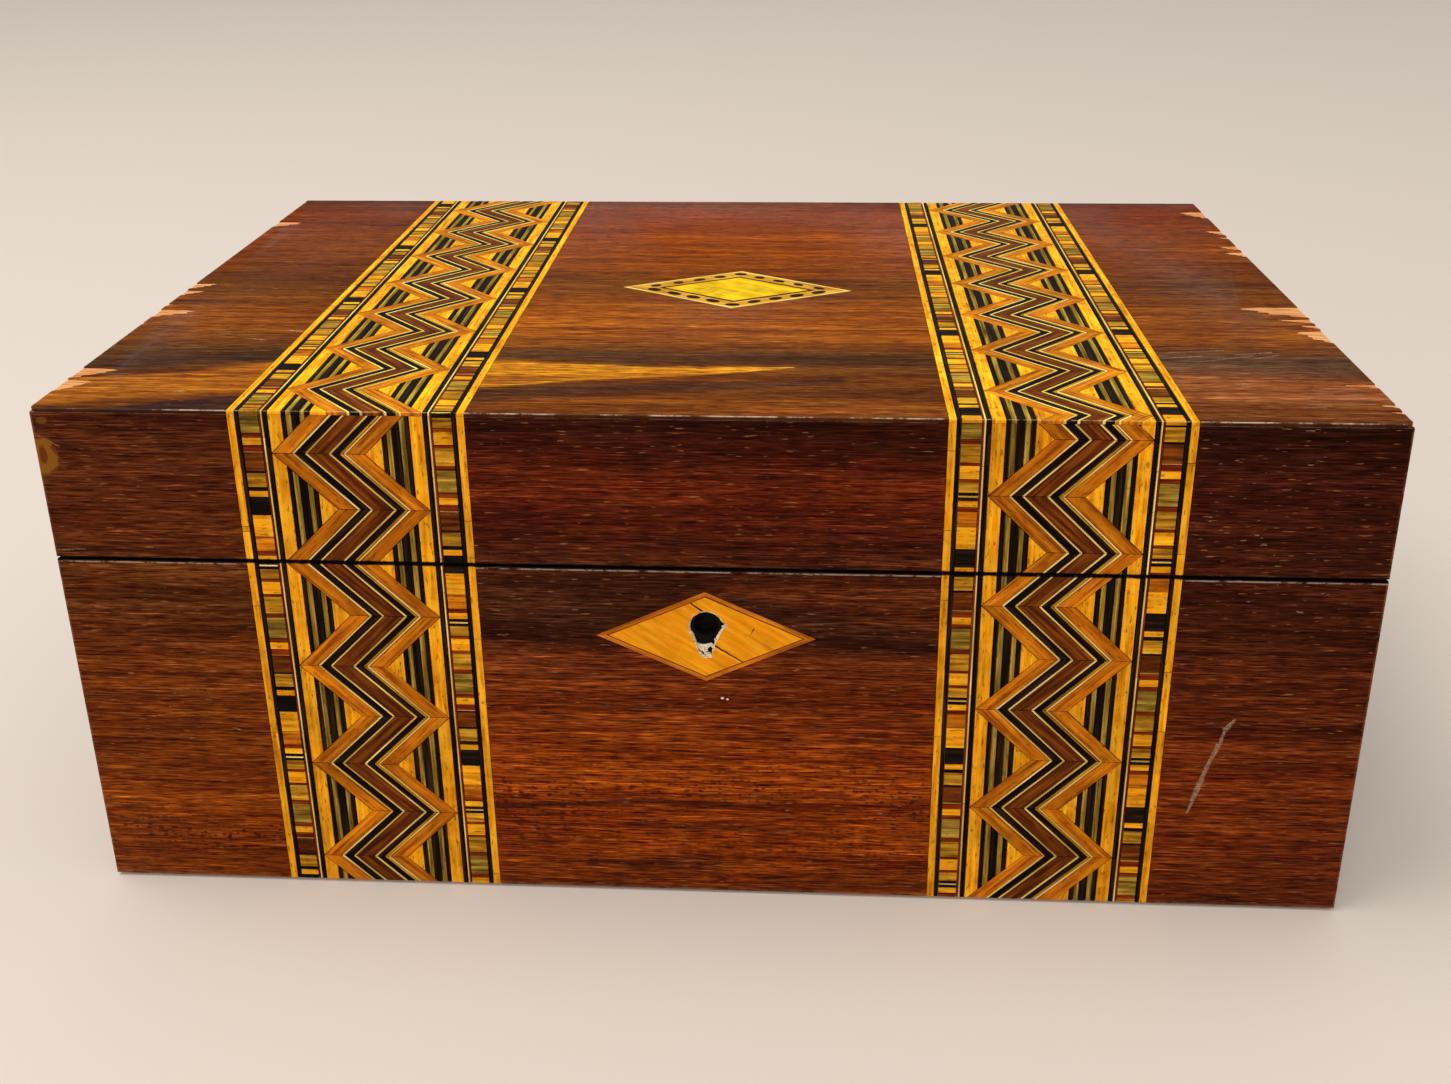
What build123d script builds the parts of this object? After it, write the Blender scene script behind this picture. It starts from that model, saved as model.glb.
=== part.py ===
from build123d import *
import math
import os

os.makedirs("parts", exist_ok=True)

# Antique glove box: a dovetailed carcase sawn into a base and a lid, veneered in rosewood and
# crossed by two bands of parquetry. Millimetres, +Z up, front towards -Y, and the origin in the
# middle of the underside.

# Overall size
length = 300.0  # along X, over the veneer
depth = 190.0  # along Y, over the veneer
height = 127.0  # underside to the top of the lid
rim_height = 89.5  # underside to the rim of the base
seam_gap = 0.6  # between the two sawn rims

# Carcase
wall = 10.0
veneer = 0.9
baize = 0.8  # cloth under the bottom
baize_inset = 2.0
bottom_board = 6.0
top_board = 7.0
rebate = 5.0  # how far both boards reach into the walls
base_tails = 3
lid_tails = 1
tail_share = 0.5  # narrow end of a tail, as a share of the tails' spacing
tail_slope = 1 / 6

# Linings
lining = 1.2
lining_drop = 1.0  # from the rims
floor_pad = 3.0
lid_pad = 6.0
pad_gap = 0.3  # round both pads

# Hinges
hinge_length = 38.0
hinge_from_end = 60.0  # end of the box to the middle of a hinge
hinge_inset = 4.0  # back face to the pin's axis
knuckle_radius = 2.0
hinge_pin_radius = 0.9
pin_clearance = 0.05
leaf_width = 6.2  # from the pin's axis
leaf_thickness = 1.2
knuckle_gap = 0.15  # between knuckles, end to end
knuckle_clearance = 0.3  # round the knuckles, in the wood and in the other leaf
bevel_angle = 50.0  # of each back edge: the lid stops at twice this angle
bevel_clearance = 0.15

# Lock and link plate
lock_length = 56.0
lock_height = 30.0
lock_metal = 1.4  # back plate and selvedge
lock_box_length = 44.0
lock_box_height = 24.0
lock_box_inside = 4.8  # back plate to cap
lock_box_wall = 1.2
lock_cap = 1.0
lock_clearance = 0.1  # round the lock in its mortise
selvedge_width = 8.0
hook_spacing = 22.0
hook_stem = 3.0
hook_toe = 3.0
hook_toe_height = 2.5
hook_reach = 9.0  # below the link plate
hook_thickness = 2.0
hook_clearance = 0.5  # round a hook in its slot
bolt_thickness = 2.4
bolt_bar_height = 3.0
bolt_finger_height = 2.4
bolt_horn = 2.2
bolt_clearance = 0.6  # between bolt and hook
bolt_travel = 3.4  # sideways, to lock
talon_width = 5.0
talon_depth = 1.8
spring_thickness = 0.5
drill_pin_radius = 1.2
drill_pin_tip = 0.4  # short of the cap's outer face

# Keyhole
keyhole_x = -0.4
keyhole_z = 75.0
keyhole_radius = 3.7
keyhole_slot = 3.0
keyhole_drop = 7.8  # centre of the round part to the foot of the slot
cap_keyhole_radius = 3.0

# Screws
screw_head_radius = 2.1
screw_head_height = 1.2
screw_radius = 1.05
screw_length = 7.0
lock_screw_length = 6.0
screw_clearance = 0.03
screw_sides = 12  # few, as the screws are small and many

# Front lozenge
front_lozenge_x = -0.5
front_lozenge_z = 72.2
front_lozenge_length = 50.4
front_lozenge_height = 23.3
front_lozenge_strip = 1.2

# Lid lozenge
lid_lozenge_x = 2.6
lid_lozenge_y = -3.2
lid_lozenge_length = 62.8
lid_lozenge_width = 33.8
lid_lozenge_border = 4.6
lid_lozenge_line = 1.0
bead_length = 3.4
bead_width = 1.7
beads_per_side = 5

# Parquetry bands
band_width = 53.0
band_offset = 79.0  # middle of the box to the middle of a band
pitch = 27.2  # zigzag, from tip to tip
outer_string = 1.8
border_ebony = 1.0
ladder_width = 4.4
inner_string = 0.9
inner_ebony = 1.1
arris_line = 0.05  # glue line between the front of the lid and its top
tooth_stripes = [("satinwood", 3.1), ("ebony", 1.2), ("harewood", 1.8), ("ebony", 1.9)]
zigzag_core = [("ebony", 1.5), ("boxwood", 0.7), ("rosewood", 5.0), ("boxwood", 0.7), ("ebony", 1.5)]
ladder_run = [
    ("ebony", 4.5), ("satinwood", 5.5), ("rosewood", 4.8),
    ("harewood", 20.0), ("rosewood", 8.9), ("satinwood", 8.3),
]
woods = ["ebony", "satinwood", "boxwood", "rosewood", "yew", "harewood"]
# Where a left-hand tip of the zigzag and the start of each ladder run lie: up the front, and from
# front to back over the top. Each ladder has a start and the way its run goes.
left_band_front = {"tip": 62.4, "ladders": [(106.0, -1), (92.0, -1)]}
right_band_front = {"tip": 54.5, "ladders": [(91.3, 1), (76.0, 1)]}
left_band_top = {"tip": 0.1, "ladders": [(-69.7, 1), (-60.0, 1)]}
right_band_top = {"tip": 3.3, "ladders": [(15.8, -1), (17.4, -1)]}

# Worked out from the sizes above
half_x = length / 2
half_y = depth / 2
outer_x = half_x - veneer  # carcase faces
outer_y = half_y - veneer
inner_x = outer_x - wall
inner_y = outer_y - wall
lid_floor = rim_height + seam_gap
carcase_top = height - veneer
board_top = baize + bottom_board
board_under = carcase_top - top_board
base_z = (baize, rim_height)
lid_z = (lid_floor, carcase_top)
axis_y = half_y - hinge_inset
axis_z = rim_height + seam_gap / 2
hinge_places = [-half_x + hinge_from_end, half_x - hinge_from_end]
knuckle_length = (hinge_length - 2 * knuckle_gap) / 3
half_pitch = pitch / 2
throw = pitch / 2  # mitred at 45 degrees
border = outer_string + border_ebony + ladder_width + inner_string + inner_ebony
field = band_width - 2 * border
yew_strip = (field - throw - sum(width for _, width in zigzag_core)) / 2
hook_places = [-hook_spacing / 2, hook_spacing / 2]
hook_y = -inner_y - lock_metal - lock_box_inside / 2
hook_foot = lid_floor - hook_reach
finger_z = hook_foot + hook_toe_height + bolt_clearance
front_plane = Plane(origin=(0, -outer_y, 0), x_dir=(1, 0, 0), z_dir=(0, -1, 0))
top_plane = Plane.XY.offset(carcase_top)


def slab(x, y, z, mode=Mode.ADD):
    """A block between two values on each axis."""
    with Locations(((x[0] + x[1]) / 2, (y[0] + y[1]) / 2, (z[0] + z[1]) / 2)):
        Box(x[1] - x[0], y[1] - y[0], z[1] - z[0], mode=mode)


def grow(span, gap):
    """A span made longer at both ends."""
    return (span[0] - gap, span[1] + gap)


def save(part, name):
    part.label = name
    export_step(part, f"parts/{name}.step")


def rod(x, y, z, radius, mode=Mode.ADD):
    """A round bar along X."""
    with BuildSketch(Plane.YZ.offset(x[0])) as outline:
        with Locations((y, z)):
            Circle(radius)
    extrude(outline.sketch, amount=x[1] - x[0], mode=mode)


def tails(x, end, z, count, mode=Mode.ADD):
    """The dovetails of one corner: end is -1 at the front and 1 at the back."""
    spacing = (z[1] - z[0]) / count
    narrow = spacing * tail_share / 2
    wide = narrow + wall * tail_slope
    with BuildSketch(Plane.YZ.offset(x[0])) as outline:
        for number in range(count):
            middle = z[0] + (number + 0.5) * spacing
            Polygon(
                (end * inner_y, middle - narrow), (end * outer_y, middle - wide),
                (end * outer_y, middle + wide), (end * inner_y, middle + narrow), align=None,
            )
    extrude(outline.sketch, amount=x[1] - x[0], mode=mode)


def bevel(way):
    """Cuts the sloping back edge that stops the lid: way is -1 in the base and 1 in the lid."""
    slope = math.radians(bevel_angle)
    start = axis_y - bevel_clearance / math.sin(slope)
    stop = half_y + hinge_inset
    with BuildSketch(Plane.YZ.offset(-half_x - hinge_inset)) as outline:
        rise = (stop - start) * math.tan(slope)
        Polygon((start, axis_z), (stop, axis_z), (stop, axis_z + way * rise), align=None)
    extrude(outline.sketch, amount=length + 2 * hinge_inset, mode=Mode.SUBTRACT)


def boards_rebate():
    """Lets the bottom board and the top board into the walls."""
    x = grow((-inner_x, inner_x), rebate)
    y = grow((-inner_y, inner_y), rebate)
    slab(x, y, (baize, board_top), Mode.SUBTRACT)
    slab(x, y, (board_under, carcase_top), Mode.SUBTRACT)


def screw_shape(place, reach, clearance=screw_clearance, mode=Mode.SUBTRACT, head=True):
    """One countersunk screw, or the space for it: place is the plane of its head, facing out."""
    with BuildSketch(place) as shank:
        RegularPolygon(screw_radius + clearance, screw_sides)
    extrude(shank.sketch, amount=-reach - clearance, mode=mode)
    if head:
        with BuildSketch(place) as top:
            RegularPolygon(screw_head_radius + clearance, screw_sides)
        with BuildSketch(place.offset(-screw_head_height)) as neck:
            RegularPolygon(screw_radius + clearance, screw_sides)
        loft([neck.sketch.face(), top.sketch.face()], mode=mode)


def screw_holes(places, reach):
    """Pilot holes in the wood, below the metal that holds the heads."""
    for place in places:
        screw_shape(place, reach, head=False)


def screws(name, places, reach):
    with BuildPart() as part:
        for place in places:
            screw_shape(place, reach, 0, Mode.ADD)
    save(part.part, name)


def diamond(x, y, long, short):
    """A lozenge by its two diagonals, in the sketch that is open."""
    Polygon((x - long / 2, y), (x, y - short / 2), (x + long / 2, y), (x, y + short / 2), align=None)


def inner_diagonals(long, short, strip):
    """The diagonals of a lozenge that lies a strip's width inside another."""
    side = math.hypot(long, short)
    shrink = 1 - 2 * strip * side / (long * short)
    return long * shrink, short * shrink


def ring(plane, x, y, outer, inner):
    """A veneer-thick border between two lozenges, each given by its diagonals."""
    with BuildSketch(plane) as outline:
        diamond(x, y, *outer)
        with BuildSketch(plane, mode=Mode.SUBTRACT):
            diamond(x, y, *inner)
    extrude(outline.sketch, amount=veneer)


# Places of the screws: planes on the heads, facing out
leaf_screw_y = axis_y - leaf_width / 2 - knuckle_radius / 2
base_leaf_screws = [
    Plane(origin=(x + step, leaf_screw_y, rim_height), z_dir=(0, 0, 1))
    for x in hinge_places for step in (-hinge_length / 3, hinge_length / 3)
]
lid_leaf_screws = [
    Plane(origin=(place.origin.X, place.origin.Y, lid_floor), z_dir=(0, 0, -1)) for place in base_leaf_screws
]
flange_x = (lock_length + lock_box_length) / 4
selvedge_y = -inner_y - selvedge_width / 2
selvedge_screws = [
    Plane(origin=(x, selvedge_y, rim_height), z_dir=(0, 0, 1)) for x in (-flange_x, flange_x)
]
plate_screws = [
    Plane(origin=(x, -inner_y, rim_height - lock_height + flange_x - lock_box_length / 2), z_dir=(0, 1, 0))
    for x in (-flange_x, flange_x)
]
link_screws = [Plane(origin=(x, selvedge_y, lid_floor), z_dir=(0, 0, -1)) for x in (-flange_x, flange_x)]

# Lock outlines that the wood and the metal share
lock_x = (-lock_length / 2, lock_length / 2)
box_x = (-lock_box_length / 2, lock_box_length / 2)
plate_z = (rim_height - lock_height, rim_height)
box_z = (rim_height - lock_box_height, rim_height)
plate_y = (-inner_y - lock_metal, -inner_y)
cap_y = (plate_y[0] - lock_box_inside - lock_cap, plate_y[0] - lock_box_inside)
selvedge_band_y = (-inner_y - selvedge_width, -inner_y)


def keyhole(plane, amount, radius, mode=Mode.SUBTRACT):
    """A round hole with a slot below it, cut from a plane that faces the front."""
    share = radius / keyhole_radius
    with BuildSketch(plane) as outline:
        with Locations((keyhole_x, keyhole_z)):
            Circle(radius)
        with Locations((keyhole_x, keyhole_z - keyhole_drop * share / 2)):
            Rectangle(keyhole_slot * share, keyhole_drop * share)
    extrude(outline.sketch, amount=amount, mode=mode)


# ---------------------------------------------------------------- carcase of the base
def long_wall(end, z, count):
    """A front or back wall, socketed for the tails of the side walls."""
    slab((-outer_x, outer_x), sorted((end * inner_y, end * outer_y)), z)
    for x in ((-outer_x, -inner_x), (inner_x, outer_x)):
        tails(x, end, z, count, Mode.SUBTRACT)
    boards_rebate()


def short_wall(side, z, count):
    """A side wall with its tails."""
    x = sorted((side * inner_x, side * outer_x))
    slab(x, (-inner_y, inner_y), z)
    for end in (-1, 1):
        tails(x, end, z, count)
    boards_rebate()


def hinge_recess(rim, way):
    """Lets the hinges into a back rim: way is 1 into the base and -1 into the lid."""
    for x in hinge_places:
        ends = (x - hinge_length / 2, x + hinge_length / 2)
        slab(ends, (axis_y - leaf_width, axis_y), sorted((rim - way * leaf_thickness, rim)), Mode.SUBTRACT)
        notch = knuckle_radius + knuckle_clearance
        room = sorted((axis_z, axis_z - way * notch))
        slab(grow(ends, knuckle_clearance), (axis_y - notch, half_y), room, Mode.SUBTRACT)


def selvedge_recess(low):
    """Lets the lock's selvedge or the link plate into a front rim."""
    x, y = grow(lock_x, lock_clearance), grow(selvedge_band_y, lock_clearance)
    slab(x, y, (low, low + lock_metal), Mode.SUBTRACT)


with BuildPart() as base_front_wall:
    long_wall(-1, base_z, base_tails)
    slab(grow(lock_x, lock_clearance), plate_y, grow(plate_z, lock_clearance), Mode.SUBTRACT)
    mortise_y = (cap_y[0] - lock_clearance, plate_y[1])
    slab(grow(box_x, lock_clearance), mortise_y, grow(box_z, lock_clearance), Mode.SUBTRACT)
    selvedge_recess(rim_height - lock_metal)
    keyhole(front_plane, -wall, keyhole_radius)
    screw_holes(selvedge_screws + plate_screws, lock_screw_length)
save(base_front_wall.part, "base_front_wall")

with BuildPart() as base_back_wall:
    long_wall(1, base_z, base_tails)
    hinge_recess(rim_height, 1)
    screw_holes(base_leaf_screws, screw_length)
    bevel(-1)
save(base_back_wall.part, "base_back_wall")

for side, name in ((-1, "base_left_wall"), (1, "base_right_wall")):
    with BuildPart() as base_side_wall:
        short_wall(side, base_z, base_tails)
        bevel(-1)
    save(base_side_wall.part, name)

with BuildPart() as base_bottom_board:
    slab(grow((-inner_x, inner_x), rebate), grow((-inner_y, inner_y), rebate), (baize, board_top))
save(base_bottom_board.part, "base_bottom_board")

with BuildPart() as underside_baize:
    slab(grow((-outer_x, outer_x), -baize_inset), grow((-outer_y, outer_y), -baize_inset), (0, baize))
save(underside_baize.part, "underside_baize")

# ---------------------------------------------------------------- carcase of the lid
with BuildPart() as lid_front_wall:
    long_wall(-1, lid_z, lid_tails)
    selvedge_recess(lid_floor)
    screw_holes(link_screws, screw_length)
save(lid_front_wall.part, "lid_front_wall")

with BuildPart() as lid_back_wall:
    long_wall(1, lid_z, lid_tails)
    hinge_recess(lid_floor, -1)
    screw_holes(lid_leaf_screws, screw_length)
    bevel(1)
save(lid_back_wall.part, "lid_back_wall")

for side, name in ((-1, "lid_left_wall"), (1, "lid_right_wall")):
    with BuildPart() as lid_side_wall:
        short_wall(side, lid_z, lid_tails)
        bevel(1)
    save(lid_side_wall.part, name)

with BuildPart() as lid_top_board:
    slab(grow((-inner_x, inner_x), rebate), grow((-inner_y, inner_y), rebate), (board_under, carcase_top))
save(lid_top_board.part, "lid_top_board")

# ---------------------------------------------------------------- veneers
band_inner = band_offset - band_width / 2
band_outer = band_offset + band_width / 2
panels_x = [(-half_x, -band_outer), (-band_inner, band_inner), (band_outer, half_x)]

with BuildPart() as base_front_veneer:
    for x in panels_x:
        slab(x, (-half_y, -outer_y), base_z)
    with BuildSketch(front_plane):
        diamond(front_lozenge_x, front_lozenge_z, front_lozenge_length, front_lozenge_height)
    extrude(amount=veneer, mode=Mode.SUBTRACT)
save(base_front_veneer.part, "base_front_veneer")

with BuildPart() as lid_front_veneer:
    for x in panels_x:
        slab(x, (-half_y, -outer_y), lid_z)
save(lid_front_veneer.part, "lid_front_veneer")

with BuildPart() as lid_top_veneer:
    for x in panels_x:
        slab(x, (-half_y, half_y), (carcase_top, height))
    with BuildSketch(top_plane):
        diamond(lid_lozenge_x, lid_lozenge_y, lid_lozenge_length, lid_lozenge_width)
    extrude(amount=veneer, mode=Mode.SUBTRACT)
save(lid_top_veneer.part, "lid_top_veneer")

for half, z, way in (("base", base_z, -1), ("lid", lid_z, 1)):
    for side, name in ((-1, "left"), (1, "right")):
        with BuildPart() as side_veneer:
            slab(sorted((side * outer_x, side * half_x)), (-outer_y, outer_y), z)
            bevel(way)
        save(side_veneer.part, f"{half}_{name}_veneer")
    with BuildPart() as back_veneer:
        slab((-half_x, half_x), (outer_y, half_y), z)
        bevel(way)
    save(back_veneer.part, f"{half}_back_veneer")


# ---------------------------------------------------------------- parquetry bands
def strip_outline(left, right, tip, span):
    """One strip of the zigzag between two horizontal distances, mitred at every elbow."""
    first = math.floor((span[0] - tip) / half_pitch)
    last = math.ceil((span[1] - tip) / half_pitch)
    elbows = [(throw if turn % 2 else 0, tip + turn * half_pitch) for turn in range(first, last + 1)]
    return [(left + x, v) for x, v in elbows] + [(right + x, v) for x, v in reversed(elbows)]


def tooth_outlines(tip, span, base_line, way):
    """The striped triangles beside the zigzag: way is 1 where they point right and -1 left."""
    pieces = []
    first = math.floor((span[0] - tip) / pitch)
    last = math.ceil((span[1] - tip) / pitch)
    for tooth in range(first, last):
        low, high = tip + tooth * pitch, tip + (tooth + 1) * pitch
        near = 0
        for wood, width in tooth_stripes + [("satinwood", throw - sum(w for _, w in tooth_stripes))]:
            far = near + width
            corners = [(near, low + near), (far, low + far), (far, high - far), (near, high - near)]
            if far >= throw:
                corners = [corners[0], (throw, low + throw), corners[3]]
            pieces.append((wood, [(base_line + way * x, v) for x, v in corners]))
            near = far
    return pieces


def ladder_outlines(left, span, start, way):
    """Blocks between two strings, in the order of the run, up or down from a start."""
    pieces = []
    run = sum(width for _, width in ladder_run)
    turns = math.ceil((span[1] - span[0] + run) / run) + 1
    place = start - way * run * math.ceil(abs(start - (span[0] if way > 0 else span[1])) / run)
    for wood, width in ladder_run * turns:
        ends = sorted((place, place + way * width))
        if ends[1] > span[0] and ends[0] < span[1]:
            pieces.append((wood, rectangle(left, left + ladder_width, ends)))
        place += way * width
    return pieces


def rectangle(left, right, span):
    return [(left, span[0]), (right, span[0]), (right, span[1]), (left, span[1])]


def band_outlines(middle, span, places):
    """Every piece of one band over one face, as pairs of wood and corners."""
    left = middle - band_width / 2
    right = middle + band_width / 2
    pieces = []
    for edge, way, ladder in ((left, 1, places["ladders"][0]), (right, -1, places["ladders"][1])):
        at = edge
        for wood, width in (("satinwood", outer_string), ("ebony", border_ebony), (None, ladder_width),
                            ("boxwood", inner_string), ("ebony", inner_ebony)):
            low, high = sorted((at, at + way * width))
            if wood:
                pieces.append((wood, rectangle(low, high, span)))
            else:
                pieces += ladder_outlines(low, span, *ladder)
            at += way * width
    at = left + border
    pieces += tooth_outlines(places["tip"], span, at, 1)
    for wood, width in [("yew", yew_strip)] + zigzag_core + [("yew", yew_strip)]:
        pieces.append((wood, strip_outline(at, at + width, places["tip"], span)))
        at += width
    return pieces + tooth_outlines(places["tip"] - half_pitch, span, right - border, -1)


def lay_band(plane, middle, span, places, wood):
    """Lays the pieces of one wood into one band of one face."""
    outlines = [corners for kind, corners in band_outlines(middle, span, places) if kind == wood]
    with BuildSketch(plane) as outline:
        add([Polygon(*corners, align=None, mode=Mode.PRIVATE) for corners in outlines])
        with Locations((middle, (span[0] + span[1]) / 2)):
            Rectangle(band_width, span[1] - span[0], mode=Mode.INTERSECT)
    extrude(outline.sketch, amount=veneer)


lid_front_z = (lid_floor, carcase_top - arris_line)
for wood in woods:
    with BuildPart() as base_band:
        lay_band(front_plane, -band_offset, base_z, left_band_front, wood)
        lay_band(front_plane, band_offset, base_z, right_band_front, wood)
    save(base_band.part, f"base_band_{wood}")
    with BuildPart() as lid_band:
        lay_band(front_plane, -band_offset, lid_front_z, left_band_front, wood)
        lay_band(front_plane, band_offset, lid_front_z, right_band_front, wood)
        lay_band(top_plane, -band_offset, (-half_y, half_y), left_band_top, wood)
        lay_band(top_plane, band_offset, (-half_y, half_y), right_band_top, wood)
    save(lid_band.part, f"lid_band_{wood}")

# ---------------------------------------------------------------- lozenges
front_lozenge = (front_lozenge_length, front_lozenge_height)
front_field = inner_diagonals(*front_lozenge, front_lozenge_strip)

with BuildPart() as escutcheon_field:
    with BuildSketch(front_plane):
        diamond(front_lozenge_x, front_lozenge_z, *front_field)
    extrude(amount=veneer)
    keyhole(front_plane, veneer, keyhole_radius)
save(escutcheon_field.part, "escutcheon_field")

with BuildPart() as escutcheon_border:
    ring(front_plane, front_lozenge_x, front_lozenge_z, front_lozenge, front_field)
save(escutcheon_border.part, "escutcheon_border")

lid_lozenge = (lid_lozenge_length, lid_lozenge_width)
lid_line = inner_diagonals(*lid_lozenge, lid_lozenge_border)
lid_field = inner_diagonals(*lid_line, lid_lozenge_line)
bead_ring = inner_diagonals(*lid_lozenge, lid_lozenge_border / 2)

with BuildPart() as lid_lozenge_field:
    with BuildSketch(top_plane):
        diamond(lid_lozenge_x, lid_lozenge_y, *lid_field)
    extrude(amount=veneer)
save(lid_lozenge_field.part, "lid_lozenge_field")

with BuildPart() as lid_lozenge_line_ring:
    ring(top_plane, lid_lozenge_x, lid_lozenge_y, lid_line, lid_field)
save(lid_lozenge_line_ring.part, "lid_lozenge_line")


def beads(mode=Mode.ADD):
    """Small dark lozenges, set end to end round the middle of the border."""
    with BuildSketch(top_plane) as outline:
        for turn_x, turn_y in ((1, 1), (-1, 1), (-1, -1), (1, -1)):
            angle = math.degrees(math.atan2(turn_y * bead_ring[1], -turn_x * bead_ring[0]))
            for number in range(beads_per_side):
                share = (number + 0.5) / beads_per_side
                x = lid_lozenge_x + turn_x * bead_ring[0] / 2 * (1 - share)
                y = lid_lozenge_y + turn_y * bead_ring[1] / 2 * share
                with Locations(Location((x, y), angle)):
                    diamond(0, 0, bead_length, bead_width)
    extrude(outline.sketch, amount=veneer, mode=mode)


with BuildPart() as lid_lozenge_beads:
    beads()
save(lid_lozenge_beads.part, "lid_lozenge_beads")

with BuildPart() as lid_lozenge_border_ring:
    ring(top_plane, lid_lozenge_x, lid_lozenge_y, lid_lozenge, lid_line)
    beads(Mode.SUBTRACT)
save(lid_lozenge_border_ring.part, "lid_lozenge_border")

# ---------------------------------------------------------------- lock
hook_slot = hook_stem + hook_toe + 2 * hook_clearance
slot_width = hook_thickness + 2 * hook_clearance

with BuildPart() as lock_plate:
    slab(lock_x, plate_y, plate_z)
    slab(lock_x, selvedge_band_y, (rim_height - lock_metal, rim_height))
    slab(box_x, (cap_y[1], plate_y[0]), box_z)
    box_room = (box_z[0] + lock_box_wall, rim_height - lock_metal)
    slab(grow(box_x, -lock_box_wall), (cap_y[1], plate_y[0]), box_room, Mode.SUBTRACT)
    slot_y = (hook_y - slot_width / 2, hook_y + slot_width / 2)
    for x in hook_places:
        slab(grow((x, x), hook_slot / 2), slot_y, (rim_height - lock_metal, rim_height), Mode.SUBTRACT)
    for place in selvedge_screws + plate_screws:
        screw_shape(place, screw_length)
save(lock_plate.part, "lock_plate")

with BuildPart() as lock_cap_plate:
    slab(box_x, cap_y, (box_z[0], rim_height - lock_metal))
    keyhole(Plane(origin=(0, cap_y[1], 0), x_dir=(1, 0, 0), z_dir=(0, -1, 0)), lock_cap, cap_keyhole_radius)
save(lock_cap_plate.part, "lock_cap")

with BuildPart() as lock_drill_pin:
    with BuildSketch(Plane(origin=(0, plate_y[0], 0), x_dir=(1, 0, 0), z_dir=(0, -1, 0))):
        with Locations((keyhole_x, keyhole_z)):
            Circle(drill_pin_radius)
    extrude(amount=lock_box_inside + lock_cap - drill_pin_tip)
save(lock_drill_pin.part, "lock_drill_pin")

screws("lock_screws", selvedge_screws + plate_screws, lock_screw_length)

# The bolt: a bar with two horns, whose fingers pass over the toes of the hooks
bolt_top = finger_z + bolt_finger_height
bar_top = hook_foot - bolt_clearance
bolt_plane = Plane(origin=(0, hook_y - bolt_thickness / 2, 0), x_dir=(1, 0, 0), z_dir=(0, -1, 0))
toe_tip = -hook_slot / 2 + hook_clearance  # from the middle of a hook
finger_tip = toe_tip - bolt_clearance
bolt_start = hook_places[0] + finger_tip - bolt_travel - bolt_horn
bolt_end = hook_places[1] + finger_tip
with BuildPart() as lock_bolt:
    with BuildSketch(bolt_plane):
        Polygon(*rectangle(bolt_start, bolt_end, (bar_top - bolt_bar_height, bar_top)), align=None)
        for x in hook_places:
            horn = x + bolt_start - hook_places[0]
            Polygon(*rectangle(horn, horn + bolt_horn, (bar_top, bolt_top)), align=None)
            Polygon(*rectangle(horn, x + finger_tip, (finger_z, bolt_top)), align=None)
        with Locations((keyhole_x, bar_top - bolt_bar_height)):
            Rectangle(talon_width, 2 * talon_depth, mode=Mode.SUBTRACT)
    extrude(amount=-bolt_thickness)
save(lock_bolt.part, "lock_bolt")

# A bent leaf that stands on the bar and bears on the selvedge
spring_start = hook_places[0] + hook_slot / 2 + bolt_clearance
spring_end = hook_places[1] + bolt_start - hook_places[0] - bolt_clearance
with BuildPart() as lock_spring:
    with BuildSketch(bolt_plane):
        with BuildLine() as leaf:
            low = bar_top + spring_thickness / 2
            rise = (spring_start + spring_end) / 2
            high = rim_height - lock_metal - spring_thickness
            Line((spring_start, low), (rise, low))
            bend = spring_end - (spring_end - rise) / 4
            ThreePointArc((rise, low), (bend, (low + high) / 2), (spring_end, high))
            offset(amount=spring_thickness / 2)
        make_face()
    extrude(amount=-bolt_thickness)
save(lock_spring.part, "lock_spring")

with BuildPart() as link_plate:
    slab(lock_x, selvedge_band_y, (lid_floor, lid_floor + lock_metal))
    for x in hook_places:
        y = (hook_y - hook_thickness / 2, hook_y + hook_thickness / 2)
        left = x - (hook_stem + hook_toe) / 2
        slab((left + hook_toe, left + hook_toe + hook_stem), y, (hook_foot, lid_floor))
        slab((left, left + hook_toe), y, (hook_foot, hook_foot + hook_toe_height))
    for place in link_screws:
        screw_shape(place, screw_length)
save(link_plate.part, "link_plate")

screws("link_plate_screws", link_screws, screw_length)


# ---------------------------------------------------------------- hinges
def hinge_leaf(x, rim, way, own, other):
    """A leaf let into a rim, with its own knuckles round the pin and room for the other leaf's."""
    ends = (x - hinge_length / 2, x + hinge_length / 2)
    slab(ends, (axis_y - leaf_width, axis_y), sorted((rim - way * leaf_thickness, rim)))
    notch = knuckle_radius + knuckle_clearance
    room = grow((axis_z, axis_z), notch)
    for knuckle in other:
        slab(grow(knuckle, knuckle_gap), (axis_y - notch, axis_y), room, Mode.SUBTRACT)
    for knuckle in own:
        rod(knuckle, axis_y, axis_z, knuckle_radius)
    rod(ends, axis_y, axis_z, hinge_pin_radius + pin_clearance, Mode.SUBTRACT)


def knuckle_spans(x):
    """The three knuckles of a hinge: the outer two are the base's."""
    step = knuckle_length + knuckle_gap
    return [grow((x + turn * step, x + turn * step), knuckle_length / 2) for turn in (-1, 0, 1)]


with BuildPart() as base_hinge_leaves:
    for x in hinge_places:
        left, middle, right = knuckle_spans(x)
        hinge_leaf(x, rim_height, 1, (left, right), (middle,))
    for place in base_leaf_screws:
        screw_shape(place, screw_length)
save(base_hinge_leaves.part, "base_hinge_leaves")

with BuildPart() as lid_hinge_leaves:
    for x in hinge_places:
        left, middle, right = knuckle_spans(x)
        hinge_leaf(x, lid_floor, -1, (middle,), (left, right))
    for place in lid_leaf_screws:
        screw_shape(place, screw_length)
save(lid_hinge_leaves.part, "lid_hinge_leaves")

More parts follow.
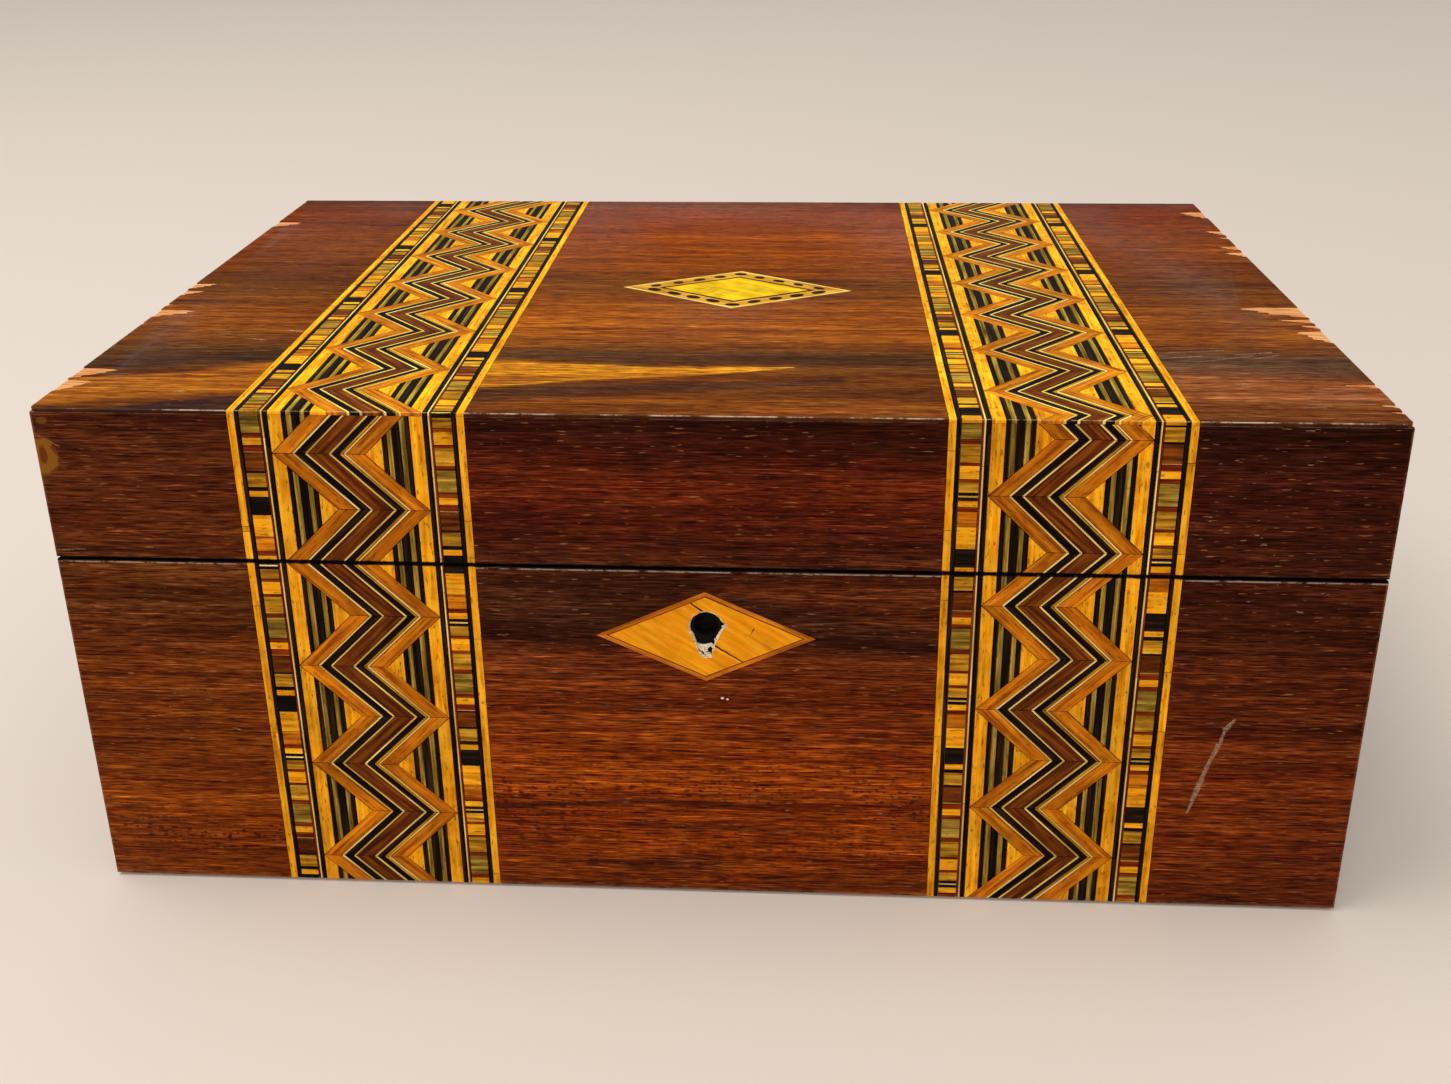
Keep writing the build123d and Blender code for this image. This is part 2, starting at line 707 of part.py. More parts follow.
with BuildPart() as hinge_pins:
    for x in hinge_places:
        rod((x - hinge_length / 2, x + hinge_length / 2), axis_y, axis_z, hinge_pin_radius)
save(hinge_pins.part, "hinge_pins")

screws("base_hinge_screws", base_leaf_screws, screw_length)
screws("lid_hinge_screws", lid_leaf_screws, screw_length)

# ---------------------------------------------------------------- linings
base_lining_z = (board_top, rim_height - lining_drop)
lid_lining_z = (lid_floor + lining_drop, board_under)


def end_lining(end, z):
    """The lining of a front or back wall."""
    slab((-inner_x, inner_x), sorted((end * (inner_y - lining), end * inner_y)), z)


def side_lining(side, z):
    """The lining of a side wall, between the other two."""
    slab(sorted((side * (inner_x - lining), side * inner_x)), grow((-inner_y, inner_y), -lining), z)


with BuildPart() as base_front_lining:
    end_lining(-1, base_lining_z)
    lock_room = grow(plate_z, lock_clearance)
    slab(grow(lock_x, lock_clearance), (-inner_y, -inner_y + lining), lock_room, Mode.SUBTRACT)
save(base_front_lining.part, "base_front_lining")

with BuildPart() as base_back_lining:
    end_lining(1, base_lining_z)
save(base_back_lining.part, "base_back_lining")

for side, name in ((-1, "base_left_lining"), (1, "base_right_lining")):
    with BuildPart() as base_side_lining:
        side_lining(side, base_lining_z)
    save(base_side_lining.part, name)

with BuildPart() as lid_linings:
    for way in (-1, 1):
        end_lining(way, lid_lining_z)
        side_lining(way, lid_lining_z)
save(lid_linings.part, "lid_linings")

pad_x = inner_x - lining - pad_gap
pad_y = inner_y - lining - pad_gap

with BuildPart() as base_floor_pad:
    slab((-pad_x, pad_x), (-pad_y, pad_y), (board_top, board_top + floor_pad))
save(base_floor_pad.part, "base_floor_pad")

with BuildPart() as lid_silk_pad:
    slab((-pad_x, pad_x), (-pad_y, pad_y), (board_under - lid_pad, board_under))
save(lid_silk_pad.part, "lid_silk_pad")
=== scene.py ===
import math
import random

import bmesh
import bpy
from mathutils import Matrix, Vector


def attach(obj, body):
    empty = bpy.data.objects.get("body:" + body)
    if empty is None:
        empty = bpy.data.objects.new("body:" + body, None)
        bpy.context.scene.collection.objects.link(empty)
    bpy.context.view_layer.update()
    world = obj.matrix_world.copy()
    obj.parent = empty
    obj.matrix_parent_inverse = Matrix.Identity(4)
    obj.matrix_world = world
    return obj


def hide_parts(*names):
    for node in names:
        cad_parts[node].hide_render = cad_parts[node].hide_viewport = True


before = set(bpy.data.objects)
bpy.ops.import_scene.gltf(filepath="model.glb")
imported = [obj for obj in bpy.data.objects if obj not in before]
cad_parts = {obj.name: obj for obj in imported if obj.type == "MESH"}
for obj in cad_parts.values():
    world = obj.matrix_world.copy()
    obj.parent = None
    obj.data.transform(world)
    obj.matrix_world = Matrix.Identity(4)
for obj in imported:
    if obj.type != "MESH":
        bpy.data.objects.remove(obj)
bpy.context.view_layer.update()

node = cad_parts
mm = 0.001
chance = random.Random(1871)

# Short names for what is used most
ops, kinds, moved, widened = bmesh.ops, bmesh.types, Matrix.Translation, Matrix.Diagonal

# Sizes shared with the frame, in millimetres
half_x, half_y, height = 150, 95, 127
carcase_x, carcase_y, carcase_top = 149.1, 94.1, 126.1
veneer = 0.9
underside = 0.8
rim, lid_floor = 89.5, 90.1
band_middle, band_width = 79, 53
band_inner, band_outer = band_middle - band_width / 2, band_middle + band_width / 2
pitch, throw = 27.2, 13.6
border = 9.2
hairline = 0.08
shut_line = 89.8

# The specular level of old polish
low_gloss = 0.035


# ---------------------------------------------------------------- finishes
def shade(red, green, blue):
    """A colour from its values out of 255, as a shader takes it."""
    parts = [v / 255 for v in (red, green, blue)]
    return tuple(v / 12.92 if v <= 0.04045 else ((v + 0.055) / 1.055) ** 2.4 for v in parts) + (1,)


class Finish:
    """One material, its colour built up in layers. Most methods add a node and hand back what comes out of it."""

    def __init__(self, name, roughness=0.4, **constants):
        self.material = bpy.data.materials.new(name)
        self.material.use_nodes = True
        self.tree = self.material.node_tree
        self.shader = self.tree.nodes["Principled BSDF"]
        self.colour = None
        for key, value in {"Roughness": roughness, **constants}.items():
            self.set(key.replace("_", " "), value)
        self.place = self.add("TexCoord").outputs["Object"]
        self.x, self.y, self.z = self.add("SeparateXYZ", self.place).outputs

    def put(self, socket, value):
        if isinstance(value, bpy.types.NodeSocket):
            self.tree.links.new(value, socket)
        else:
            socket.default_value = value

    def set(self, name, value):
        self.put(self.shader.inputs[name], value)

    def add(self, kind, *values, named=(), **settings):
        made = self.tree.nodes.new("ShaderNode" + kind)
        for key, value in settings.items():
            setattr(made, key, value)
        for key, value in [*enumerate(values), *named]:
            self.put(made.inputs[key], value)
        return made

    def math(self, operation, *values):
        return self.add("Math", *values, operation=operation).outputs[0]

    def sum(self, a, b):
        return self.math("ADD", a, b)

    def take(self, a, b):
        return self.math("SUBTRACT", a, b)

    def times(self, a, b):
        return self.math("MULTIPLY", a, b)

    def size(self, a):
        return self.math("ABSOLUTE", a)

    def span(self, value, low, high, to_low=0, to_high=1, smooth=False):
        """Value between low and high, brought to another span and held at its ends."""
        kind = "SMOOTHSTEP" if smooth else "LINEAR"
        return self.add("MapRange", value, low, high, to_low, to_high, interpolation_type=kind).outputs[0]

    def point(self, x, y, z=0):
        return self.add("CombineXYZ", x, y, z).outputs[0]

    def stretch(self, x, y, z):
        return self.add("VectorMath", self.place, (x, y, z), operation="MULTIPLY").outputs[0]

    def noise(self, scale, detail=3, rough=0.55, at=None):
        named = (("Vector", at or self.place), ("Scale", scale), ("Detail", detail), ("Roughness", rough))
        return self.add("TexNoise", named=named).outputs[0]

    def grain(self, ways, along, across, seed=0, detail=2, rough=0.55):
        """Noise drawn out along the grain, with its scales along and across."""
        return self.noise(1, detail, rough, self.point(self.times(ways[0], along), self.times(ways[1], across), seed))

    def stray(self, noise, reach):
        """Noise brought to both sides of 0."""
        return self.times(self.take(noise, 0.5), reach)

    def mix(self, share, a, b):
        named = ((0, share), (6, a), (7, b))
        return self.add("Mix", named=named, data_type="RGBA", blend_type="MIX").outputs[2]

    def stain(self, share, tint):
        """Mixes a tint into the colour."""
        self.colour = self.mix(share, self.colour, shade(*tint))

    def alter(self, operation, *by):
        """Changes the colour by one number, or by one for each channel."""
        by = self.point(*(by if len(by) == 3 else by * 3))
        self.colour = self.add("VectorMath", self.colour, by, operation=operation).outputs[0]

    def scale(self, *by):
        self.alter("MULTIPLY", *by)

    def ramp(self, value, low, high, tints, places=(0, 0.5, 1)):
        """Starts the colour with tints along a value, at their places between low and high."""
        made = self.add("ValToRGB", self.span(value, low, high))
        for place in places[1:-1]:
            made.color_ramp.elements.new(place)
        for element, tint in zip(made.color_ramp.elements, tints):
            element.color = shade(*tint)
        self.colour = made.outputs[0]

    def dots(self, vector, radius, share):
        """Round dots, one to a cell, where share is the part of the cells that has one."""
        cells = self.add("TexVoronoi", named=(("Vector", vector), ("Scale", 1)), voronoi_dimensions="2D")
        chosen = self.add("SeparateXYZ", cells.outputs["Color"]).outputs
        wide = self.span(chosen[1], 0, 1, radius * 0.6, radius * 1.3)
        close = self.span(self.take(cells.outputs["Distance"], wide), -0.05, 0.05, 1, 0)
        return self.times(close, self.span(chosen[0], share - 0.01, share + 0.01, 1, 0))

    def near(self, value, target, reach):
        """1 where a value meets its target, fading to 0 a reach away, in millimetres."""
        return self.span(self.size(self.take(value, target * mm)), 0, reach * mm, 1, 0, True)

    def streak(self, along, across, start, end, wide, narrow, soft):
        """A tapering streak between two points, each given along and across the grain, in millimetres."""
        middle = self.span(along, start[0] * mm, end[0] * mm, start[1] * mm, end[1] * mm)
        half = self.span(along, start[0] * mm, end[0] * mm, wide * mm / 2, narrow * mm / 2)
        off = self.math("DIVIDE", self.size(self.take(across, middle)), half)
        inside = self.span(off, 1 - soft, 1 + soft, 1, 0, True)
        past = self.size(self.take(along, (start[0] + end[0]) / 2 * mm))
        reach = abs(end[0] - start[0]) / 2 * mm
        return self.times(inside, self.span(past, reach, reach + (0.3 + 14 * max(0, soft - 0.5)) * mm, 1, 0))

    def gap_shade(self):
        """Painted shade: black along the two arrises that meet where the lid shuts, in the gap between lid and base.
        """
        ragged = self.sum(self.size(self.take(self.z, 89.82 * mm)), self.stray(self.noise(420), 0.0005))
        self.stain(self.span(ragged, 0.42 * mm, 0.7 * mm, 0.97, 0), (9, 5, 4))

    def done(self, relief, depth, strength, roughness=None):
        """Sets the colour, the gloss where it varies, and fine relief of a depth in millimetres."""
        self.set("Base Color", self.colour)
        if roughness:
            self.set("Roughness", roughness)
        named = (("Height", relief), ("Distance", depth * mm), ("Strength", strength))
        self.set("Normal", self.add("Bump", named=named).outputs[0])
        return self.material


def flow_of(finish, flow):
    """The coordinates along and across the grain of a face: flow names their axes."""
    return [getattr(finish, axis) for axis in flow]


def rosewood(name, flow, tones, seed, sapwood=(), dark=(), light=(), specks=None, worn=(), splits=(), contrast=1,
             dabs=(), lip=False):
    """Old polished rosewood. Tones are colours across the grain, from one edge to the other. Sapwood, dark
    and light are streaks; specks is where dark pores crowd; worn lists rubbed edges; splits are cracks and
    scratches; dabs are patches with an uneven rim; lip is for veneer whose front edge shows."""
    f = Finish(name, Specular_IOR_Level=low_gloss)
    ways = along, across = flow_of(f, flow)
    sway = f.stray(f.grain(ways, 9, 34, seed), 0.011)
    ripple = f.stray(f.grain(ways, 45, 160, seed + 3, 3), 0.0026)
    wavy = f.sum(across, f.sum(sway, ripple))
    low, high = tones[0][0], tones[-1][0]
    f.ramp(wavy, low * mm, high * mm, [tone[1] for tone in tones], [(tone[0] - low) / (high - low) for tone in tones])
    for streaks, soft in ((dark, 0.6), (light, 0.7), (sapwood, 0.14)):
        for course, tint, share in streaks:
            f.stain(f.times(f.streak(along, wavy, *course, soft), share), tint)
    lines = f.grain(ways, 30, 700, seed + 11, 3, 0.6)
    for value, low, high, amount in ((f.grain(ways, 8, 190, seed + 7, 3), 0.34, 0.66, 0.26),
                                     (lines, 0.36, 0.64, 0.3),
                                     (f.grain(ways, 190, 2300, seed + 17), 0.32, 0.68, 0.46)):
        shifts = [amount * contrast * k for k in (1, 1.4, 1.7)]
        f.scale(*(f.span(value, low, high, max(0.08, 1 - shift), 1 + shift) for shift in shifts))
    f.stain(f.span(f.grain(ways, 16, 330, seed + 13), 0.56, 0.7, 0, 0.5), (46, 17, 5))
    hairs = f.grain(ways, 95, 3000, seed + 15, 1)
    f.scale(f.span(hairs, 0.36, 0.43, 1 - 0.5 * contrast, 1))
    f.scale(f.span(hairs, 0.6, 0.68, 1, 1 + 0.8 * contrast))
    fibres = f.grain(ways, 240, 1900, seed + 19, 1)
    pores = f.span(fibres, 0.62, 0.7, smooth=True)
    f.stain(f.times(pores, 0.6), (30, 9, 2))
    f.stain(f.times(f.span(fibres, 0.33, 0.25, smooth=True), 0.3 * contrast), (186, 126, 72))
    if specks:
        bent = f.sum(across, f.stray(f.noise(900, 2), 0.0008))
        there = f.times(f.near(across, *specks), f.span(f.grain(ways, 26, 70, seed + 29), 0.3, 0.5))
        for long, short, radius, share, slide in ((300, 520, 0.2, 0.45, 0), (560, 900, 0.24, 0.4, 7)):
            cells = f.point(f.sum(f.times(along, long), seed + slide), f.times(bent, short))
            f.stain(f.times(f.times(f.dots(cells, radius, share), there), 0.8), (54, 17, 5))
    scuffs = f.span(f.grain(ways, 260, 900, seed + 31), 0.68, 0.72, smooth=True)
    patches = f.span(f.grain(ways, 22, 30, seed + 37), 0.54, 0.66)
    f.stain(f.times(f.times(scuffs, patches), 0.36), (196, 156, 122))
    rub = f.noise(330, 4, 0.7)
    if lip:
        f.stain(f.span(f.y, -half_y * mm, -half_y * mm + 0.2 * mm, 0.8, 0), (48, 17, 8))
        chafed = f.span(f.sum(rub, f.stray(f.noise(42, 2), 0.9)), 0.46, 0.62, 0.05, 0.8)
        f.stain(f.times(f.times(f.near(f.y, -half_y, 0.36), f.near(f.z, height, 0.36)), chafed), (226, 200, 174))
    for axis, edge, reach, tint, share in worn:
        rubbed = f.times(f.near(getattr(f, axis), edge, reach), f.span(rub, 0.38, 0.56, smooth=True))
        f.stain(f.times(rubbed, share), tint)
    for centre, reach, tint, rim_tint, share in dabs:
        out = [f.times(f.take(way, middle * mm), 1 / (far * mm)) for way, middle, far in zip(ways, centre, reach)]
        away = f.add("VectorMath", f.point(*out), operation="LENGTH").outputs["Value"]
        away = f.sum(away, f.stray(f.noise(260, 3, 0.7), 0.9))
        f.stain(f.span(away, 0.82, 1, share, 0), tint)
        rim_of_dab = f.span(f.size(f.take(away, 1)), 0, 0.14, 1, 0, True)
        f.stain(f.times(rim_of_dab, share * 0.8), rim_tint)
    # Painted shade in the gap where the lid shuts
    f.gap_shade()
    chalk = f.noise(1400, 3, 0.7)
    for (start, end, wide, narrow), tint, share in splits:
        run = ways
        if abs(end[1] - start[1]) > abs(end[0] - start[0]):
            run, start, end = ways[::-1], start[::-1], end[::-1]
        torn_edge = f.sum(run[1], f.stray(f.noise(700, 4, 0.7), 0.0016 if wide > 0.6 else 0.0008))
        broken = f.span(chalk, 0.42, 0.6, share * 0.25, share)
        f.stain(f.times(f.streak(run[0], torn_edge, start, end, wide, narrow, 0.3), broken), tint)
    relief = f.sum(f.times(lines, 0.4), f.sum(f.times(pores, -0.7), f.times(f.noise(60, 1), 2.2)))
    return f.done(relief, 0.05, 0.6, f.sum(f.span(f.noise(26), 0.3, 0.7, 0.24, 0.4), f.times(pores, 0.2)))


def inlay(name, plain, deep, pale, grain=1, flecks=0, spread=0.2, figure=0, cracks=(), top_light=(1.36, 1.5, 1.2)):
    """A wood of the bands. Its map runs along each piece's own grain, and its tone is the piece's own. On the box's
    top its colour is made brighter as painted top light."""
    f = Finish(name, Specular_IOR_Level=low_gloss)
    ways = f.add("SeparateXYZ", f.add("UVMap", uv_map="grain").outputs[0]).outputs[:2]
    tone = f.add("Attribute", attribute_name="tone").outputs["Fac"]
    streaks = f.grain(ways, 55, 1000, rough=0.6)
    cloud = f.grain(ways, 90, 300, 4, 3)
    f.ramp(streaks, 0.34, 0.66, (deep, plain, pale))
    f.scale(f.span(cloud, 0.32, 0.68, 1 - 0.34 * grain, 1 + 0.24 * grain))
    if figure:
        f.stain(f.span(f.grain(ways, 260, 90, 9), 0.45, 0.7, 0, figure), pale)
    f.scale(f.span(tone, 0, 1, 1 - spread, 1 + spread))
    f.scale(f.span(f.noise(38, 4), 0.3, 0.7, 0.86, 1.07))
    marks = f.span(f.grain(ways, 420, 1500, 2, 1), 0.62, 0.69, smooth=True)
    if flecks:
        f.stain(f.times(marks, flecks), [v * 0.45 for v in deep])
    # Painted top light: pieces on the box's top are made brighter and yellower
    f.scale(*(f.span(f.z, 126.5 * mm, 126.9 * mm, 1, k) for k in top_light))
    f.alter("MINIMUM", 0.97)
    arris = f.times(f.near(f.y, -half_y, 0.3), f.near(f.z, height, 0.3))
    f.stain(f.times(f.times(arris, f.span(f.noise(260, 4, 0.7), 0.42, 0.56)), 0.6), (238, 214, 170))
    # Painted shade in the gap where the lid shuts
    f.gap_shade()
    if cracks:
        ragged = f.sum(f.z, f.stray(f.noise(900, 2), 0.0004))
        for course in cracks:
            f.stain(f.streak(f.x, ragged, *course, 0.3), (52, 16, 2))
    relief = f.sum(f.times(streaks, 0.5), f.sum(f.times(marks, -0.6), f.times(f.noise(60, 1), 1.8)))
    return f.done(relief, 0.05, 0.5, f.span(cloud, 0.3, 0.7, 0.26, 0.4))


woods = {
    "ebony": inlay("ebony", (20, 11, 6), (9, 5, 4), (44, 28, 16), 0.4, spread=0.35),
    "satinwood": inlay("satinwood", (238, 153, 14), (204, 119, 6), (249, 179, 38), 1, 0.6, 0.12, 0.5),
    "boxwood": inlay("boxwood", (232, 188, 98), (196, 146, 62), (246, 216, 146), 0.6, spread=0.1),
    "yew": inlay("yew", (186, 99, 9), (131, 64, 4), (212, 128, 20), 1.1, 0.4, 0.16, 0.3),
    "harewood": inlay("harewood", (142, 108, 34), (92, 66, 16), (186, 148, 58), 1.1, 0.4, 0.22),
    "rosewood": inlay("rosewood_inlay", (98, 44, 6), (66, 25, 3), (130, 67, 12), 1.2, 0.4, 0.16),
    "padauk": inlay("padauk", (118, 34, 6), (78, 16, 3), (150, 56, 12), 0.8, spread=0.15),
    "olive": inlay("olivewood", (180, 122, 22), (126, 80, 12), (208, 152, 42), 1.2, 0.4, 0.15),
}


def pine(name, flow, seed, aged=0):
    """The wood under the veneer: pale inside, stained dark round the two rims."""
    f = Finish(name, roughness=0.7, Specular_IOR_Level=0.2)
    ways = flow_of(f, flow)
    bands = f.grain(ways, 9, 320, seed, 4, 0.6)
    fibres = f.grain(ways, 120, 2100, seed + 5, 3)
    cloud = f.noise(60, 4)
    f.ramp(bands, 0.3, 0.7, ((196, 124, 78), (226, 164, 114), (238, 188, 142)))
    f.scale(f.span(fibres, 0.3, 0.7, 0.72, 1.2))
    f.stain(f.span(cloud, 0.5, 0.72, 0, 0.5), (150, 84, 46))
    f.stain(aged, (86, 44, 22))
    clean = f.colour
    f.colour = f.mix(bands, shade(64, 26, 12), shade(108, 52, 24))
    f.scale(f.span(fibres, 0.3, 0.7, 0.75, 1.2))
    outer = f.math("MAXIMUM", f.span(f.size(f.x), 148 * mm, 148.9 * mm), f.span(f.size(f.y), 93 * mm, 93.9 * mm))
    f.stain(f.times(outer, 0.85), (12, 7, 5))
    rims = f.span(f.size(f.take(f.z, shut_line * mm)), 6.5 * mm, 11 * mm, 1, 0, True)
    worn = f.span(f.noise(240, 4, 0.7), 0.62, 0.74, smooth=True)
    f.colour = f.mix(f.times(rims, f.span(worn, 0, 1, 1, 0.45)), clean, f.colour)
    return f.done(f.sum(fibres, f.times(cloud, 2)), 0.12, 0.7, f.span(rims, 0, 1, 0.8, 0.42))


def torn_wood(name, plain, deep, pale, along=700, across=2600):
    """Raw splintered wood, its fibres along x."""
    f = Finish(name, roughness=0.85, Specular_IOR_Level=0.1)
    fibres = f.noise(1, at=f.stretch(along, across, across))
    f.ramp(fibres, 0.3, 0.7, (deep, plain, pale))
    return f.done(fibres, 0.1, 0.8)


def metal(name, plain, tarnish, spots, roughness):
    """Old handled metal: cloudy tarnish, darker spots, fine scratches and softer gloss where it is dull."""
    f = Finish(name, Metallic=1)
    cloud, freckles = f.noise(85, 5, 0.65), f.noise(900, 2)
    lines = f.noise(1, 2, at=f.stretch(260, 3400, 3400))
    f.colour = f.mix(f.span(cloud, 0.35, 0.68), shade(*plain), shade(*tarnish))
    f.stain(f.times(f.span(freckles, 0.62, 0.7, smooth=True), 0.7), spots)
    f.scale(f.span(lines, 0.3, 0.7, 0.86, 1.12))
    dull = f.sum(f.span(cloud, 0.3, 0.7, roughness, roughness + 0.3), f.span(lines, 0.3, 0.7, 0, 0.08))
    return f.done(f.sum(f.times(lines, 0.5), f.sum(cloud, f.times(freckles, -0.4))), 0.04, 0.6, dull)


def cloth(name, plain, deep, pale, pile, sheen, roughness, threads=0):
    """Cloth with a pile or a weave: brushed patches, fine fibres and a soft bloom at the edges."""
    f = Finish(name, roughness=roughness, Specular_IOR_Level=0.2, Sheen_Weight=sheen, Sheen_Roughness=0.4,
               Sheen_Tint=shade(*pale))
    relief = fibres = f.noise(pile, 3, 0.7)
    f.ramp(f.noise(34, 4, 0.6), 0.3, 0.7, (deep, plain, pale))
    f.scale(f.span(fibres, 0.3, 0.7, 0.66, 1.34))
    if threads:
        weave = [f.math("SINE", f.times(way, math.tau * threads)) for way in (f.x, f.y)]
        relief = f.sum(f.times(f.sum(*weave), 0.35), f.times(fibres, 0.5))
        f.scale(f.span(f.times(*weave), -1, 1, 0.9, 1.1))
    return f.done(relief, 0.16, 0.8)


def paper(name, plain, deep):
    """Old lining paper, scuffed and browned in patches."""
    f = Finish(name, roughness=0.82, Specular_IOR_Level=0.2)
    cloud, fibres = f.noise(30, 5, 0.65, f.stretch(1, 1, 1.6)), f.noise(1900)
    f.colour = f.mix(f.span(cloud, 0.35, 0.7), shade(*plain), shade(*deep))
    f.scale(f.span(fibres, 0.3, 0.7, 0.84, 1.16))
    scuffs = f.times(f.span(f.noise(210, 5, 0.75), 0.6, 0.68, smooth=True), f.near(f.z, 88.5, 7))
    f.stain(f.times(scuffs, 0.7), (196, 150, 120))
    return f.done(f.sum(fibres, f.times(cloud, 3)), 0.08, 0.6, f.span(cloud, 0.3, 0.7, 0.72, 0.9))


bare_veneer = torn_wood("torn_veneer", (224, 154, 92), (184, 108, 56), (240, 186, 128), 120, 1300)
whiskers = torn_wood("torn_fibres", (232, 216, 186), (150, 128, 98), (250, 244, 230))
# Near black, painted as the shade inside the keyhole
keyhole_shade = torn_wood("painted_keyhole_shade", (12, 8, 6), (5, 4, 3), (24, 16, 10))
brass = metal("brass", (206, 160, 78), (136, 92, 40), (70, 48, 26), 0.24)
steel = metal("steel", (148, 142, 136), (92, 80, 70), (92, 50, 26), 0.3)
dull_brass = metal("dull_brass", (168, 128, 62), (104, 72, 34), (52, 36, 20), 0.34)
velvet = cloth("velvet", (106, 10, 16), (90, 8, 13), (122, 16, 22), 2200, 0.3, 0.95)
silk = cloth("silk", (176, 88, 78), (156, 72, 64), (196, 112, 98), 1500, 0.2, 0.42, threads=1400)
baize = cloth("baize", (22, 66, 38), (12, 42, 24), (44, 92, 58), 1700, 0.3, 0.95)
lining = paper("lining_paper", (104, 24, 28), (72, 12, 18))


# ---------------------------------------------------------------- shaping
def face_of(side):
    """From a flat layout, with its surface up, to where that face of the carcase lies."""
    across, up, origin = (Vector(v) for v in {
        "front": ((1, 0, 0), (0, 0, 1), (0, -carcase_y, 0)),
        "back": ((-1, 0, 0), (0, 0, 1), (0, carcase_y, 0)),
        "left": ((0, -1, 0), (0, 0, 1), (-carcase_x, 0, 0)),
        "right": ((0, 1, 0), (0, 0, 1), (carcase_x, 0, 0)),
        "top": ((1, 0, 0), (0, 1, 0), (0, 0, carcase_top)),
    }[side])
    turn = Matrix((across, up, across.cross(up))).transposed().to_4x4()
    return Matrix.Scale(mm, 4) @ moved(origin) @ turn


def lay_on(bm, side):
    ops.transform(bm, matrix=face_of(side), verts=bm.verts)
    return bm


def piece_from(bm, name, material, body, stands_for=(), sharp=35):
    """Makes a mesh into a piece that rides on a body."""
    ops.recalc_face_normals(bm, faces=bm.faces)
    mesh = bpy.data.meshes.new(name)
    bm.to_mesh(mesh)
    bm.free()
    mesh.materials.append(material)
    mesh.shade_smooth()
    mesh.set_sharp_from_angle(angle=math.radians(sharp))
    piece = bpy.data.objects.new(name, mesh)
    bpy.context.scene.collection.objects.link(piece)
    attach(piece, body)
    if stands_for:
        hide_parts(*stands_for)
    return piece


def round_edges(bm, edges, size, steps=1):
    ops.bevel(bm, geom=list(edges), offset=size, segments=steps, profile=0.5, affect="EDGES",
              offset_type="OFFSET", clamp_overlap=True, material=-1)


def knife(bm, point, normal):
    """Cuts a solid with a plane, takes away the side the normal points to and closes the cut."""
    every = bm.verts[:] + bm.edges[:] + bm.faces[:]
    cut = ops.bisect_plane(bm, geom=every, dist=1e-6, plane_co=point, plane_no=normal, clear_outer=True)
    rims = [e for e in cut["geom_cut"] if isinstance(e, kinds.BMEdge) and e.is_boundary]
    if rims:
        ops.edgeloop_fill(bm, edges=rims)


def top_edges(bm, level=veneer):
    return [e for e in bm.edges if all(abs(v.co.z - level) < 1e-4 for v in e.verts)]


def sheet_of_pieces():
    """An empty mesh that keeps each piece's grain and tone."""
    bm = bmesh.new()
    bm.loops.layers.uv.new("grain")
    bm.faces.layers.float.new("tone")
    return bm


def mark(bm, faces, grain):
    """Gives a piece its own tone, and a map that runs along its grain."""
    map_layer, tone_layer = bm.loops.layers.uv["grain"], bm.faces.layers.float["tone"]
    tone, slide = chance.random(), Vector((chance.random() * 40, chance.random() * 40))
    turn = Matrix.Rotation(-grain, 2)
    for face in faces:
        face[tone_layer] = tone
        for loop in face.loops:
            loop[map_layer].uv = (turn @ loop.vert.co.xy + slide) * mm


def raise_up(bm, thickness):
    """Gives flat pieces their thickness, and hands back the points of the raised side."""
    raised = ops.extrude_face_region(bm, geom=bm.faces[:], use_keep_orig=True)["geom"]
    raised = [v for v in raised if isinstance(v, kinds.BMVert)]
    ops.translate(bm, vec=(0, 0, thickness), verts=raised)
    ops.recalc_face_normals(bm, faces=bm.faces)
    return raised


def rim_of(bm, points, z=0):
    """A closed run of edges through points at one height."""
    verts = [bm.verts.new((x, y, z)) for x, y in points]
    return [bm.edges.new(pair) for pair in zip(verts, verts[1:] + verts[:1])]


def fill(bm, edges):
    ops.triangle_fill(bm, use_beauty=True, use_dissolve=False, edges=edges, normal=(0, 0, 1))


def board(outlines, grain=0, thickness=veneer):
    """A piece of veneer with its surface up, from its outline and those of its openings."""
    bm = sheet_of_pieces()
    for points in outlines:
        rim_of(bm, points)
    fill(bm, bm.edges[:])
    mark(bm, bm.faces, grain)
    raise_up(bm, thickness)
    return bm


def part_pieces(bm, joint):
    """Draws each piece in from its neighbours by a hairline."""
    rims = ops.inset_individual(bm, faces=bm.faces[:], thickness=joint, use_even_offset=True)["faces"]
    ops.delete(bm, geom=rims, context="FACES")


def pour(source, target):
    """Adds one mesh to another."""
    spare = bpy.data.meshes.new("spare")
    source.to_mesh(spare)
    source.free()
    target.from_mesh(spare)
    bpy.data.meshes.remove(spare)


# ---------------------------------------------------------------- parquetry bands
def stock(run):
    """The strips of a banding from their woods and widths."""
    words = run.split()
    return list(zip(words[::2], map(float, words[1::2])))


tooth = stock("satinwood 3.1 ebony 1 harewood 1.3 ebony 1.8 harewood 1.2 ebony 1.1 satinwood 4.1")
zigzag = stock("yew 4.4 boxwood .75 ebony 2.2 boxwood .7 rosewood 4.6 boxwood .75 ebony 1.8 olive .8 boxwood .7"
               " yew 4.3")
strings = stock("satinwood 1.8 ebony 1 ladder 4.4 padauk .4 boxwood .5 ebony 1.1")
ladder = stock("ebony 4.5 satinwood 5.5 yew 3.75 padauk 1 satinwood 1.6 ebony .75 boxwood .5 ebony .65 olive 2.6"
               " padauk .65 satinwood 3.25 padauk .65 olive 4.5 padauk 1 harewood 5.6 padauk 1 satinwood 1.9"
               " padauk 1.5 boxwood .25 rosewood 4.6 ebony .4 olive 3.5 ebony .9 satinwood 1.5")


